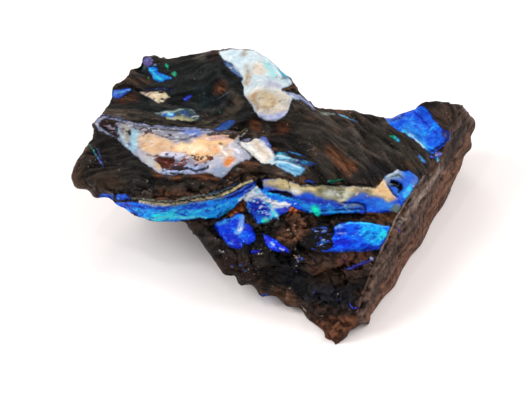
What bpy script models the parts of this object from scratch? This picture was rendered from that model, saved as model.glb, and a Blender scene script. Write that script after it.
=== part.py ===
"""Rough opal specimen: one broken lump of ironstone with an opal seam along its front.

Metres, +Z up. The lump stands on its broken base with its origin under the middle of its
bounding box. +X runs along its long side, and -Y is the front, where the seam shows.
"""
import bpy
import bmesh
import numpy as np
from mathutils import Vector, noise

MM = 0.001
NODE = "opal_boulder"

# The lump is lofted between rails. Each rail follows one edge, shelf or hollow from the left
# to the right, as (x, y, z) points in mm, and runs on past both broken ends, which are cut.
LEFT_END = -68.0
RIGHT_END = 78.0
STATION_PITCH = 2.5
RAILS = {
    # front, from the floor up to the seam
    "toe": ((-55, 12, 16), (-38, 4, 15), (-27, -8, 17), (-20, -14, 12), (-13, -23, 7),
            (-3, -27.2, 4.3), (8, -29.5, 2), (13.5, -37, 0), (16.5, -44.5, -1), (32, -44.5, -1)),
    "face_low": ((-56, 8, 18), (-39, 0, 17), (-27, -8.6, 18), (-18, -15.7, 15), (-7, -24, 12.5),
                 (5, -27, 12), (15, -33.5, 8), (21, -38, 6), (32, -38, 6)),
    "face_high": ((-57, 5, 20), (-40, -3, 18), (-27, -9.4, 19), (-17, -13.6, 18), (-4, -19.7, 17.5),
                  (11, -21.6, 17), (28, -26, 16.5), (40, -28, 17)),
    "ledge": ((-58, 3, 21.5), (-41, -5, 19), (-27, -9.7, 19.5), (-17, -10.2, 18.8),
              (-4, -13.6, 18.8), (11, -10.9, 19), (26, -10.1, 19.5), (35, -12.5, 20.3), (48, -14, 20)),
    "seam_low": ((-62, 3, 22), (-53, -3, 21.5), (-41, -9, 20.3), (-36, -11.4, 19.5), (-22, -10.6, 20),
                 (-13, -8.6, 21), (-8, -7, 22), (3, -8, 21.5), (13, -8.2, 21), (25, -7, 20.8),
                 (37, -7.5, 21.5), (52, -7, 21)),
    "seam_top": ((-61, 2, 27), (-56, -2.6, 26.8), (-47, -7, 27), (-35, -10, 28), (-29, -10.3, 28.5),
                 (-18, -8, 29.5), (-9, -4.3, 30), (0, -2.2, 29.5), (8.5, -3.5, 28), (20, -2.4, 27),
                 (31, -1.4, 26), (40, 2.2, 25), (52, 1, 23)),
    # top, from the seam back to the high rim
    "lip": ((-61, 4, 29), (-56, -1.4, 29.3), (-47, -6.4, 30), (-35, -9.4, 31.3), (-29, -9.5, 31.8),
            (-18, -6.2, 32.3), (-9, -2.3, 33), (0, -0.5, 32), (8.5, -1.7, 30), (20, -1.1, 29),
            (31, 0.2, 27.8), (40, 5.8, 27), (54, 4, 24)),
    "shelf_front": ((-60, 6, 31), (-44, 5.4, 32.7), (-37, 0.6, 32.3), (-29, -2.8, 32.3),
                    (-13, -0.8, 34), (-7, 3.6, 34), (5, 2, 31.5), (20, 2.6, 30), (37, 7.6, 28.2),
                    (48, 5.2, 24.6)),
    "shelf_back": ((-56, 15, 34), (-50, 18, 35), (-34, 14, 35.4), (-22, 11.7, 35.5), (-14, 12.5, 36),
                   (-1, 8, 34), (7, 7.9, 32), (28, 10, 30), (43, 10, 27.5), (52, 8, 24)),
    "bowl_low": ((-54, 19, 35.8), (-37, 19.7, 36.4), (-19, 19.6, 36.5), (-12, 18.6, 37.8),
                 (-5.5, 16.1, 38), (0.5, 13.4, 36), (8, 13, 33.5), (28, 15.2, 31.5), (37, 15.9, 29.6),
                 (50, 9, 25)),
    "bowl_mid": ((-52, 25, 38), (-35, 26.5, 38.6), (-18, 24.5, 39.5), (-5.5, 20.2, 42), (0.5, 18.5, 39.5),
                 (6.6, 17.9, 36), (14, 17.6, 34.6), (33, 19.2, 31.2), (40, 16.6, 29.4), (52, 9, 25)),
    "bowl_top": ((-50, 29, 40), (-41, 30.4, 42), (-24, 29.4, 44), (-10, 26.2, 46.3), (-4.6, 23.8, 46),
                 (0, 22.5, 44), (6, 22, 40.5), (11, 20.5, 36.8), (26, 20.1, 34), (34, 20.6, 31.6),
                 (46, 12.1, 27.5), (56, 8, 24)),
    "rim": ((-46, 34, 43), (-39, 38.5, 45.5), (-35, 36, 45.3), (-23, 35.5, 48), (-8, 34.5, 49.6),
            (-3, 32.8, 48), (1.5, 31, 45.5), (6, 28.6, 42.3), (10.5, 24.6, 38.2), (14, 22.3, 35.8),
            (24, 22.6, 34.5), (35, 22.5, 31.5), (43, 17.4, 28.7), (51, 9.9, 24.8), (60, 6, 22)),
    # back: a shallow valley, the crest behind it, and the steep back face
    "valley": ((-46, 38, 36), (-30, 42, 36), (-15, 41, 36), (0, 38, 34), (10, 30, 30), (32, 28, 26),
               (44, 22.3, 23), (52, 14.2, 22), (62, 12, 22)),
    "crest": ((-46, 39, 28), (-30, 44, 26), (0, 42, 26), (12, 36, 26), (24, 32, 26), (36, 27, 27),
              (42, 28, 29.8), (48, 29, 33.3), (52, 29, 33.6), (56, 29.5, 33), (61, 33, 29), (70, 38, 24)),
    "back_high": ((-46, 37, 20), (-30, 43, 14), (0, 42, 13), (15, 39, 14), (45, 40, 16), (60, 43, 15),
                  (72, 48, 12)),
    "back_foot": ((-46, 33, 16), (-32, 37, 6), (-22, 38, -1), (40, 39, -1), (56, 41, -1), (72, 48, 2)),
    # base, from the back to the front; it ends below the floor plane that trims it
    "base_back": ((-50, 27, 16), (-38, 28, 8), (-28, 28, -1), (10, 22, -1), (50, 20, -1)),
    "base_front": ((-53, 18, 16), (-44, 16, 13), (-36, 12, 9), (-26, 8, 4), (-16, 2, 0), (-6, -10, -1),
                   (14, -34, -1), (30, -26, -1), (50, -10, -1)),
}

# The broken ends are nearly flat: a point on each face in mm, and its outward direction.
END_FACES = {
    "left_front": ((-61.2, 1.6, 27.0), (-0.90, 0.56, -0.25)),
    "left_back": ((-50.4, 25.3, 38.5), (-0.75, 0.73, -0.30)),
    "right": ((28.9, -32.2, 6.0), (0.86, -0.48, 0.17)),
    "right_toe": ((28.9, -32.2, 6.0), (0.88, -0.47, -0.04)),
    "toe_corner": ((23.7, -35.6, 0.0), (0.715, -0.70, -0.25)),
    "back_corner": ((61.0, 33.2, 27.3), (0.45, 0.85, 0.43)),
    "back_corner_toe": ((62.7, 30.2, 11.0), (0.80, 0.30, -0.82)),
}
FLAT_END = ("right", "right_toe")  # this end broke cleanly, so it takes less of the relief
FLAT_END_SHARE = 0.25  # of the relief, on the face itself
FLAT_END_FADE = 4.0  # mm inward over which the full relief comes back

# The base is cut flat where the lump meets the floor: a point, and its outward direction.
BASE_FACE = ((0.0, 0.0, 0.0), (0.0, 0.0, -1.0))

# Relief, mm: broad lumps, and beds that run long in x and short in y and z.
LUMP_LENGTH = 15.0
LUMP_SHIFT = 1.6
BED_LENGTHS = (16.0, 6.0, 5.0)
BED_SHIFT = 1.0
NOISE_SEED = 1795451852  # picks one of the noise's patterns, so that each run gives the same rock

CUT_WELD = 0.01  # vertices this close to a cut move onto it, mm
FIRST_VOXEL = 1.0  # mm, for closing the loft
SECOND_VOXEL = 0.9  # mm, for the relief
SMOOTHING = 0.5
FIRST_SMOOTHINGS = 4
SECOND_SMOOTHINGS = 5
TARGET_TRIANGLES = 9000

ROCK_COLOUR = (0.055, 0.030, 0.018, 1.0)
ROCK_ROUGHNESS = 0.45


def clear_scene():
    """Remove whatever the file already holds."""
    for item in list(bpy.data.objects):
        bpy.data.objects.remove(item, do_unlink=True)


def rail_point(rail, x):
    """Return the place where a rail passes the station x, going on level past its ends."""
    xs, ys, zs = zip(*rail)
    return Vector((x, np.interp(x, xs, ys), np.interp(x, xs, zs))) * MM


def lofted_lump():
    """Join the rails into one closed skin, station by station."""
    bm = bmesh.new()
    stations = np.arange(LEFT_END, RIGHT_END + STATION_PITCH, STATION_PITCH)
    rings = [[bm.verts.new(rail_point(rail, x)) for rail in RAILS.values()] for x in stations]
    for ring, following in zip(rings, rings[1:]):
        for i in range(len(ring)):
            j = (i + 1) % len(ring)
            bm.faces.new((ring[i], ring[j], following[j], following[i]))
    for ring in (rings[0], rings[-1]):
        bm.faces.new(ring)
    bmesh.ops.triangulate(bm, faces=bm.faces)
    bmesh.ops.recalc_face_normals(bm, faces=bm.faces)
    mesh = bpy.data.meshes.new(NODE)
    bm.to_mesh(mesh)
    bm.free()
    return mesh


def evaluated(mesh, *modifiers):
    """Return a mesh with modifiers applied, each given as its type and a dict of values."""
    carrier = bpy.data.objects.new("carrier", mesh)
    bpy.context.scene.collection.objects.link(carrier)
    for kind, values in modifiers:
        modifier = carrier.modifiers.new(kind.title(), kind)
        for name, value in values.items():
            setattr(modifier, name, value)
    graph = bpy.context.evaluated_depsgraph_get()
    result = bpy.data.meshes.new_from_object(carrier.evaluated_get(graph))
    bpy.data.objects.remove(carrier, do_unlink=True)
    return result


def remesh(voxel):
    """Describe a voxel remesh of the given size in mm."""
    return "REMESH", {"mode": "VOXEL", "voxel_size": voxel * MM}


def smooth(iterations):
    """Describe a number of smoothing passes."""
    return "SMOOTH", {"factor": SMOOTHING, "iterations": iterations}


def cut_flat(mesh, point, normal):
    """Cut away everything past a plane and close the cut."""
    bm = bmesh.new()
    bm.from_mesh(mesh)
    everything = bm.verts[:] + bm.edges[:] + bm.faces[:]
    centre = Vector(point) * MM
    outward = Vector(normal).normalized()
    bmesh.ops.bisect_plane(bm, geom=everything, dist=CUT_WELD * MM, plane_co=centre,
                           plane_no=outward, clear_outer=True)
    rim = [edge for edge in bm.edges if edge.is_boundary]
    for vertex in {vertex for edge in rim for vertex in edge.verts}:
        vertex.co -= outward * (vertex.co - centre).dot(outward)
    faces = bmesh.ops.holes_fill(bm, edges=rim, sides=0)["faces"]
    bmesh.ops.triangulate(bm, faces=faces)
    bmesh.ops.recalc_face_normals(bm, faces=bm.faces)
    bm.to_mesh(mesh)
    bm.free()


def keep_largest_shell(mesh):
    """Drop stray chips and closed bubbles, which are smaller shells than the lump's skin."""
    bm = bmesh.new()
    bm.from_mesh(mesh)
    unseen = set(bm.verts)
    shells = []
    while unseen:
        front = [unseen.pop()]
        shell = list(front)
        while front:
            neighbours = {edge.other_vert(vert) for vert in front for edge in vert.link_edges}
            front = list(neighbours & unseen)
            unseen -= neighbours
            shell += front
        shells.append(shell)
    shells.sort(key=len)
    for shell in shells[:-1]:
        bmesh.ops.delete(bm, geom=shell, context="VERTS")
    bm.to_mesh(mesh)
    bm.free()


def relief(place):
    """Return how far the rock's broad lumps and its beds shift a place, all in mm."""
    across_beds = Vector(place[i] / BED_LENGTHS[i] for i in range(3))
    return (noise.noise_vector(place / LUMP_LENGTH) * LUMP_SHIFT
            + noise.noise_vector(across_beds) * BED_SHIFT)


def roughen(mesh):
    """Shift the skin by the relief, less on the end that broke clean."""
    noise.seed_set(NOISE_SEED)
    flat_faces = [(Vector(point), Vector(normal).normalized())
                  for point, normal in (END_FACES[name] for name in FLAT_END)]
    for vertex in mesh.vertices:
        place = vertex.co / MM
        depth = min((point - place).dot(normal) for point, normal in flat_faces)
        fade = min(1.0, max(0.0, depth / FLAT_END_FADE))
        share = FLAT_END_SHARE + (1 - FLAT_END_SHARE) * fade
        vertex.co += relief(place) * share * MM


def stand_on_origin(mesh):
    """Move the lump so that the middle of its base's bounding box is the origin."""
    places = np.array([vertex.co for vertex in mesh.vertices])
    low = places.min(axis=0)
    middle = (low + places.max(axis=0)) / 2
    for vertex in mesh.vertices:
        vertex.co -= Vector((middle[0], middle[1], low[2]))
    print("moved by", [round(float(v) / MM, 3) for v in (-middle[0], -middle[1], -low[2])])


def ironstone():
    """Make the dark brown rock's material."""
    material = bpy.data.materials.new("ironstone")
    material.use_nodes = True
    shader = material.node_tree.nodes["Principled BSDF"]
    shader.inputs["Base Color"].default_value = ROCK_COLOUR
    shader.inputs["Roughness"].default_value = ROCK_ROUGHNESS
    shader.inputs["Metallic"].default_value = 0.0
    return material


def build_lump():
    """Loft the lump, break its ends, roughen it, lighten it and cut its base flat."""
    mesh = evaluated(lofted_lump(), remesh(FIRST_VOXEL), smooth(FIRST_SMOOTHINGS))
    keep_largest_shell(mesh)
    for point, normal in END_FACES.values():
        cut_flat(mesh, point, normal)
    mesh = evaluated(mesh, remesh(SECOND_VOXEL), smooth(SECOND_SMOOTHINGS))
    roughen(mesh)
    triangles = sum(len(face.vertices) - 2 for face in mesh.polygons)
    mesh = evaluated(mesh, ("DECIMATE", {"ratio": TARGET_TRIANGLES / triangles}))
    cut_flat(mesh, *BASE_FACE)
    keep_largest_shell(mesh)
    stand_on_origin(mesh)
    mesh.shade_flat()
    mesh.materials.clear()
    mesh.materials.append(ironstone())
    return mesh


def main():
    """Put the finished lump in a collection of its own."""
    clear_scene()
    collection = bpy.data.collections.new("rough_opal_specimen")
    bpy.context.scene.collection.children.link(collection)
    collection.objects.link(bpy.data.objects.new(NODE, build_lump()))


main()
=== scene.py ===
"""Rough opal specimen: the looks of the stone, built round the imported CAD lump.

Sizes are in mm, except for the camera's, which are in Blender's own units. Outlines, lines and places
in the photograph are in its pixels. Colours are sRGB, 0 to 255.
"""
import math

import bmesh
import bpy
import numpy as np
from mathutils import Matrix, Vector, kdtree, noise


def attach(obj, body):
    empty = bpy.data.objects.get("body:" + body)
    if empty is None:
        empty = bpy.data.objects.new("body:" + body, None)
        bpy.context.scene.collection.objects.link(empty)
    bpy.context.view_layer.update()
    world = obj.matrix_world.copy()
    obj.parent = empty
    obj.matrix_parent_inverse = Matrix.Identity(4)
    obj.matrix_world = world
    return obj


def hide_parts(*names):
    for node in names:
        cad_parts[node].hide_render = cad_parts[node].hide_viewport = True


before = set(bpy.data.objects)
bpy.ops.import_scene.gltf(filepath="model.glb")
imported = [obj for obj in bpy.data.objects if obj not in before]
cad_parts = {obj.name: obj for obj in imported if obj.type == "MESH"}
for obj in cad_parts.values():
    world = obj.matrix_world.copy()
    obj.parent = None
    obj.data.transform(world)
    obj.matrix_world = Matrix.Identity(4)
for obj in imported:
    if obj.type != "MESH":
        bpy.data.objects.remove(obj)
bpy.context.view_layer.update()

MM = 0.001
NODE = "opal_boulder"
NOISE_SEED = 3  # picks one of the noise's patterns, so that each run gives the same stone

# Camera: the photograph's view, 45 degrees above the front.
AIM = Vector((-4.664, -5.537, 20.0)) * MM
ELEVATION = math.radians(45)
DISTANCE = 440 * MM
LENS = 100.0
SENSOR = 36.0
PHOTO_SIZE = (528, 416)
FOCAL = LENS / SENSOR * PHOTO_SIZE[0]  # the focal length in the photograph's pixels
PIXEL_MM = DISTANCE / MM / FOCAL  # the size of one of its pixels at the stone
RIGHT = Vector((1, 0, 0))
BACK = Vector((0, -math.cos(ELEVATION), math.sin(ELEVATION)))  # from the stone towards the camera
UP = BACK.cross(RIGHT)


def add_object(name, data):
    """Return a new object in the scene."""
    made = bpy.data.objects.new(name, data)
    bpy.context.scene.collection.objects.link(made)
    return made


def add_camera():
    """Stand the camera where the photographer stood."""
    data = bpy.data.cameras.new("camera")
    data.lens = LENS
    data.sensor_width = SENSOR
    camera = add_object("camera", data)
    camera.location = AIM + BACK * DISTANCE
    camera.rotation_euler = BACK.to_track_quat("Z", "Y").to_euler()
    bpy.context.scene.camera = camera


def to_photo(points):
    """Return where points fall in the photograph, and how far they are from the camera."""
    from_camera = points - np.array(AIM + BACK * DISTANCE) / MM
    distance = -(from_camera @ np.array(BACK))
    x = PHOTO_SIZE[0] / 2 + FOCAL * (from_camera @ np.array(RIGHT)) / distance
    y = PHOTO_SIZE[1] / 2 - FOCAL * (from_camera @ np.array(UP)) / distance
    return np.stack([x, y], axis=1), distance


# ------------------------------------------------------------- opal patches and lines
# How a patch or a line looks: precious opal, milky opal, rock where the opal is broken away, or a
# tone that only dyes the opal under it.
FIRE = "fire"
MILK = "milk"
ROCK = "rock"
INK = "ink"

# Each patch: how it looks, its colour, how far it stands out (mm; opal with 0 keeps the height of what
# it covers) and its outline in the photograph's pixels. Later patches lie over earlier ones.
PATCHES = {
    # front seam, left
    "seam_tip": (FIRE, (35, 85, 215), 0.2, (
        (96, 195.5), (104, 194), (113, 193.5), (128, 195), (132, 198), (130, 200.5), (113, 200.5),
        (104, 198.5))),
    "seam_left": (FIRE, (24, 106, 250), 0.3, (
        (100, 199), (113, 202), (146, 202), (165, 206), (215, 199), (240, 190), (256, 180), (259, 181),
        (256, 186), (247, 194), (243, 200), (229, 212), (214, 220), (206, 219), (201, 217), (197, 219),
        (175, 223), (150, 222), (124, 209))),
    "seam_left_azure": (FIRE, (24, 154, 255), 0.0, (
        (120, 205), (150, 211), (205, 209), (244, 195), (243, 200), (229, 212), (214, 220), (197, 219),
        (175, 223), (150, 222), (136, 215))),
    "seam_left_cyan": (FIRE, (34, 222, 255), 0.0, (
        (146, 219), (153, 214.5), (161, 213.5), (170, 211), (178, 212.5), (181, 216), (163, 222),
        (154, 222))),
    "seam_cyan_b": (FIRE, (20, 200, 215), 0.0, (
        (186, 216), (192, 213), (198, 216), (192, 219), (188, 218))),
    "seam_cyan_d": (FIRE, (40, 195, 190), 0.0, (
        (218, 215), (226, 212), (231, 207), (228, 213), (222, 217))),
    "seam_left_cream": (MILK, (205, 190, 140), 0.5, (
        (150, 202.6), (163, 204), (210, 197.5), (220, 194.5), (244, 182.5), (251, 180.5), (250, 183),
        (229, 194), (210, 199.8), (163, 206), (150, 204.6))),
    "seam_left_cream_high": (MILK, (175, 165, 130), 0.4, (
        (131, 197.2), (165, 200.8), (175, 200), (195, 195), (205, 194.2), (224, 188.6), (232, 185),
        (233, 187), (213, 194.6), (185, 199), (175, 202), (165, 202.4), (131, 199))),
    # pyramid under the seam
    "pyramid": (FIRE, (22, 62, 212), 0.6, (
        (257, 186), (263, 191), (280, 199), (292, 203), (292, 206), (287, 213), (262, 225), (256, 223),
        (254, 216), (250, 213), (246, 213), (245, 208), (246, 203), (243, 199))),
    "pyramid_ridge": (MILK, (208, 228, 248), 0.9, (
        (243, 198), (248, 193), (257.6, 186.4), (261.6, 195), (267, 199.6), (276, 202.4), (292, 204.5),
        (286, 206.2), (275, 207), (270, 209), (267, 203.4), (258, 194.6), (244, 202.4))),
    "pyramid_deep": (FIRE, (8, 22, 160), 0.0, (
        (255, 199), (262, 204), (267, 212), (263, 218), (256, 217), (252, 209))),
    "pyramid_cyan": (FIRE, (60, 190, 225), 0.0, (
        (271, 209), (276, 212), (280, 216), (275, 219), (271, 214))),
    "pyramid_green": (FIRE, (60, 190, 160), 0.0, ((261, 221), (268, 217), (271, 221), (265, 224))),
    "pyramid_green_edge": (FIRE, (70, 170, 120), 0.0, (
        (245, 205), (249, 206), (250, 212), (247, 214), (245, 210))),
    "pyramid_violet": (FIRE, (70, 60, 200), 0.0, ((279, 207), (288, 209), (285, 213), (279, 213))),
    # front seam, right
    "seam_right": (FIRE, (22, 92, 232), 0.3, (
        (262, 179), (268, 178), (290, 181), (303, 186), (340, 186), (372, 188), (384, 190), (398, 196),
        (406, 198), (404, 203), (399, 208), (392, 212), (380, 214), (366, 212), (318, 217), (276, 200),
        (262, 193), (259, 186))),
    "seam_right_azure": (FIRE, (40, 125, 230), 0.0, (
        (296, 201), (322, 209), (332, 206), (358, 207), (361, 212), (325, 215), (312, 212))),
    "seam_right_knee": (FIRE, (45, 120, 235), 0.0, (
        (366, 199), (378, 199), (392, 202), (396, 206), (388, 209), (374, 209), (368, 204))),
    "seam_right_violet": (FIRE, (50, 60, 190), 0.0, (
        (300, 197), (312, 200), (330, 203), (345, 203), (338, 206), (322, 206), (306, 203))),
    "seam_right_haze": (MILK, (110, 120, 120), 0.3, (
        (262, 180), (290, 180), (303, 186), (372, 187), (397, 199), (390, 202), (366, 195), (354, 196),
        (347, 201), (322, 200), (312, 194), (268, 188))),
    "seam_right_cream": (MILK, (228, 208, 154), 0.5, (
        (262, 179.5), (278, 178.2), (288, 180), (300, 185.2), (366, 186), (374, 188), (398, 199),
        (391, 200), (368, 191.5), (356, 190.5), (335, 197), (322, 196), (312, 191), (296, 191),
        (286, 188.4), (274, 187.4), (264, 185))),
    "seam_right_tan": (MILK, (168, 146, 108), 0.3, (
        (352, 189), (362, 188.4), (370, 190), (378, 194), (370, 194.5), (360, 192.6))),
    "seam_right_olive": (MILK, (125, 125, 95), 0.1, (
        (318, 187.5), (345, 188), (347, 192), (343, 196), (333, 198), (322, 196), (316, 192))),
    # seam_right_glint is a painted highlight on the olive lens
    "seam_right_glint": (MILK, (205, 210, 200), 0.1, (
        (324, 192), (331, 191), (338, 193), (333, 195), (326, 195))),
    "seam_right_vein": (MILK, (226, 220, 184), 0.5, (
        (344, 186), (348, 188), (350.5, 193), (349, 199), (344, 202.5), (339.5, 201.5), (344, 197),
        (346, 191))),
    "seam_right_white": (MILK, (235, 232, 220), 0.3, (
        (292, 187.5), (298, 189), (301, 193), (296, 194), (291, 191))),
    "seam_green_spot": (FIRE, (10, 215, 190), 0.2, (
        (311, 207), (318, 206), (321, 210), (321, 215), (317, 217), (313, 213))),
    "seam_step_grey": (MILK, (112, 130, 128), 0.2, (
        (343, 204.5), (355, 204), (361, 206), (354, 207.5), (345, 207))),
    "seam_grey_spot": (MILK, (95, 115, 105), 0.1, (
        (388, 209), (393, 205), (398, 203.5), (402, 207), (399, 212), (392, 213))),
    # knob at the seam's right end
    "knob_peach": (MILK, (245, 205, 150), 0.8, (
        (373, 189), (381, 182), (384, 177), (387, 181), (387, 186), (398, 199), (396, 201), (377, 195),
        (373, 192))),
    "knob_ring": (FIRE, (45, 100, 220), 1.0, (
        (387, 174), (397, 169), (402, 171), (409, 170), (414, 173), (419, 179), (418, 185), (413, 190),
        (411, 196), (401, 204), (397, 200), (398, 196), (394, 194), (386, 184), (384, 178))),
    "knob_ring_pale": (MILK, (150, 175, 185), 1.0, (
        (385, 177), (389, 173), (397, 168.5), (402, 171), (403, 176), (399, 179), (393, 178), (389, 181),
        (390, 187), (386, 183))),
    "knob_ring_azure": (FIRE, (80, 165, 240), 1.0, (
        (403, 191), (408, 186), (412, 184), (411, 192), (406, 198.5), (402, 200))),
    "knob_ring_rim": (MILK, (110, 140, 200), 1.0, (
        (414, 173), (419, 179), (418, 185), (413, 190), (416, 179))),
    # blue faces on the front
    "front_left": (FIRE, (6, 60, 232), 0.6, (
        (213, 223), (232, 217), (238, 213), (243, 212), (245, 217), (245, 223), (251, 226), (255, 233),
        (257, 241), (248, 245), (244, 241), (243, 248), (236, 250), (227, 245), (215, 229))),
    "front_left_deep": (FIRE, (10, 38, 205), 0.0, (
        (221, 233), (232, 233), (243, 235), (244, 247), (236, 250), (227, 245))),
    # front_left_pale is a painted highlight, the pale V on this blue face
    "front_left_pale": (MILK, (118, 168, 242), 0.6, (
        (235.5, 232.5), (241, 216), (243, 213), (244, 219), (243.4, 228), (241, 233.4), (238, 234))),
    "front_left_cyan": (FIRE, (60, 140, 235), 0.0, (
        (214, 224), (222, 220), (231, 218), (229, 222), (220, 226))),
    "front_mid": (FIRE, (18, 48, 235), 0.6, ((262, 230), (289, 249), (291, 253), (273, 252), (266, 247))),
    "front_small": (FIRE, (40, 45, 210), 0.3, (
        (250, 250.5), (256, 249.5), (262, 250.5), (256, 254), (250, 254))),
    "front_right": (FIRE, (4, 84, 234), 0.6, (
        (333, 227), (341, 223), (349, 221), (358, 222), (365, 221), (387, 226), (393, 226), (382, 247),
        (379, 250), (365, 249), (343, 252), (318, 251), (335, 247), (330, 238), (335, 232))),
    "front_right_azure": (FIRE, (15, 150, 235), 0.0, (
        (359, 223), (388, 228), (380, 246), (371, 247), (365, 241), (361, 234))),
    "front_right_cyan": (FIRE, (30, 205, 235), 0.0, (
        (379, 233), (386, 230), (384.5, 238), (380, 242), (377, 238))),
    "front_right_pale": (FIRE, (110, 150, 230), 0.0, ((334, 227), (341, 223), (345, 225), (339, 230))),
    "front_right_deep": (FIRE, (6, 60, 238), 0.0, (
        (331, 238), (343, 234), (352, 240), (350, 248), (338, 251))),
    "front_streak": (FIRE, (56, 34, 140), 0.1, (
        (345, 268), (366, 261), (374, 256), (373, 260), (366, 264), (347, 271))),
    # peach shelf
    "shelf_grey": (MILK, (150, 152, 172), 0.5, (
        (113, 121), (132, 122), (150, 127), (190, 128), (222, 132), (238, 131), (241, 135), (239, 141),
        (253, 157), (250, 161), (243, 161), (232, 168), (223, 179), (217, 178), (212, 174), (205, 173),
        (197, 175), (190, 175), (181, 173), (178, 176), (162, 175), (155, 172), (150, 167), (143, 163),
        (118, 142))),
    "shelf_top_line": (MILK, (150, 145, 165), 0.3, (
        (97, 114.5), (106, 113.5), (133, 120), (124, 119.3), (106, 115), (98, 116))),
    "shelf_dark_gap": (ROCK, (30, 18, 14), 0.1, (
        (108, 121.5), (114, 123), (119, 128), (119.5, 140), (107, 129.5))),
    "shelf_tip": (MILK, (152, 158, 176), 0.5, (
        (94.5, 123), (97, 118), (103, 115.8), (105, 118), (100.6, 120.6), (99.4, 125), (104, 129.6),
        (111, 133.6), (109, 135.6), (95.6, 127))),
    "shelf_pit": (ROCK, (58, 26, 26), 0.1, (
        (99, 122), (103, 120.5), (107, 122.5), (107, 125.5), (103, 127), (99, 127))),
    "shelf_mottle": (MILK, (160, 155, 145), 0.4, (
        (121, 125), (129, 125), (131, 131), (130, 142), (128, 148), (123, 143), (120, 136), (119.5, 130))),
    "shelf_mottle_speck": (ROCK, (40, 28, 22), 0.0, ((121, 128), (124, 127.5), (123, 131), (121, 131))),
    "shelf_mottle_speck_b": (ROCK, (40, 28, 22), 0.0, ((128, 130), (131, 131), (130, 135), (128.5, 133.5))),
    "shelf_cyan": (MILK, (155, 200, 212), 0.5, (
        (131, 130), (137, 129.5), (139, 135), (137, 150), (132, 149), (130, 142))),
    "shelf_blue_spot": (FIRE, (20, 50, 130), 0.0, ((127, 141.5), (130, 141), (131.5, 145), (129, 147))),
    "shelf_peach_left": (MILK, (226, 188, 150), 0.6, (
        (138, 134), (146, 132), (158, 134), (176, 143), (172, 148), (157, 156), (149, 155), (143, 151),
        (139, 146))),
    "shelf_stripe": (MILK, (140, 138, 150), 0.5, (
        (140, 125.5), (160, 128), (205, 130.5), (209, 132.5), (200, 138), (190, 141), (178, 142),
        (158, 133), (138, 129))),
    "shelf_stripe_blue": (MILK, (105, 130, 200), 0.5, (
        (178, 129.5), (190, 129), (204, 131), (202, 135), (194, 137), (184, 134))),
    "shelf_peach": (MILK, (248, 200, 148), 0.9, (
        (172, 145), (190, 142), (208, 134), (236, 132), (238, 137), (225, 148), (222, 154), (214, 157),
        (208, 161), (200, 162), (183, 153), (162, 154), (166, 149))),
    "shelf_peach_core": (MILK, (255, 228, 185), 0.9, (
        (176, 146), (186, 144), (198, 143), (205, 147), (199, 151), (178, 150))),
    "shelf_rose_b": (MILK, (235, 170, 130), 0.8, ((210, 147), (216, 147.5), (218, 151), (212, 151))),
    "shelf_rose_c": (MILK, (205, 160, 160), 0.6, (
        (207, 137), (220, 135), (231, 136), (226, 140), (212, 141))),
    "shelf_white": (MILK, (220, 215, 232), 0.7, (
        (160, 152.5), (172, 151.5), (182, 153), (189, 157), (185, 160), (162, 157))),
    "shelf_cascade": (MILK, (188, 188, 190), 0.5, (
        (138, 155), (145, 153), (152, 157), (161, 168), (166, 171), (163, 174), (155, 171), (142, 161))),
    "shelf_lilac": (MILK, (158, 168, 204), 0.4, (
        (160, 170), (181, 163), (191, 163.5), (208, 168), (206, 172), (195, 172.5), (186, 171), (179, 175),
        (170, 175.5), (163, 174))),
    "shelf_lilac_right": (MILK, (194, 192, 204), 0.6, (
        (204, 166), (212, 158), (222, 155), (226, 147), (233, 142), (240, 146), (252, 159), (241, 162),
        (232, 168), (226, 174), (223, 179), (207, 172))),
    "shelf_lilac_foot": (MILK, (142, 156, 182), 0.6, (
        (208, 168), (220, 165), (233, 166), (226, 174), (222, 179), (214, 175))),
    "shelf_peach_end": (MILK, (226, 196, 172), 0.6, (
        (222, 152), (231, 146), (234, 152), (226, 160), (220, 160))),
    "shelf_inclusion": (ROCK, (78, 38, 30), -0.3, (
        (155, 158.6), (166, 157), (177, 161), (170, 167), (165, 168.4), (160, 165.6))),
    "shelf_orange": (MILK, (222, 135, 58), 0.6, (
        (223.5, 163), (226.5, 157), (231, 155.5), (235, 159), (231, 164.5), (226, 166.5))),
    "shelf_yellow": (MILK, (205, 160, 90), 0.5, ((156, 164), (159.5, 163.5), (161, 168), (157.5, 168))),
    "shelf_roots": (ROCK, (58, 40, 26), 0.1, (
        (228, 134.5), (240, 131), (241, 134), (236, 137.5), (231, 139))),
    "blue_wedge": (FIRE, (48, 82, 150), 0.3, (
        (211, 131), (222, 122.5), (230, 119.5), (234.5, 120.5), (236, 124), (229, 130.5))),
    # white streak and fan to its right
    "streak": (MILK, (240, 236, 226), 0.8, (
        (236, 142), (243, 141), (250, 142), (255, 138), (262, 138), (278, 157), (277, 163), (272, 165),
        (264, 164), (258, 161))),
    "streak_tan": (MILK, (216, 190, 164), 0.9, (
        (252, 142), (256, 140), (268, 153), (271, 160), (265, 158), (258, 151))),
    "streak_blue": (MILK, (95, 115, 195), 0.5, (
        (257, 137), (264, 135.5), (269, 140), (272, 147), (268, 147))),
    "streak_dusk": (MILK, (120, 115, 140), 0.4, ((239, 140), (250, 137.5), (253, 140.5), (245, 142))),
    "fan_teal": (FIRE, (80, 145, 180), 0.3, (
        (274, 153), (282, 151.5), (293, 157.5), (290, 161.5), (275, 159))),
    "fan_sky": (MILK, (112, 184, 226), 0.6, (
        (271, 162), (275, 158.5), (284, 158), (304, 164.5), (306, 170), (297.5, 179))),
    "fan_dark": (FIRE, (40, 70, 135), 0.2, (
        (291, 157), (300, 159.5), (312, 161.5), (318, 164), (312, 167), (303, 165), (296, 162))),
    "dash_blue": (FIRE, (40, 80, 175), 0.2, (
        (303, 181), (308, 179.5), (314, 180.5), (316, 183), (309, 184))),
    "dash_green": (FIRE, (10, 58, 40), 0.1, (
        (325, 182), (329, 180), (335, 178.5), (346, 180), (350, 181.5), (338, 182), (329, 183.5))),
    # upper left
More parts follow.
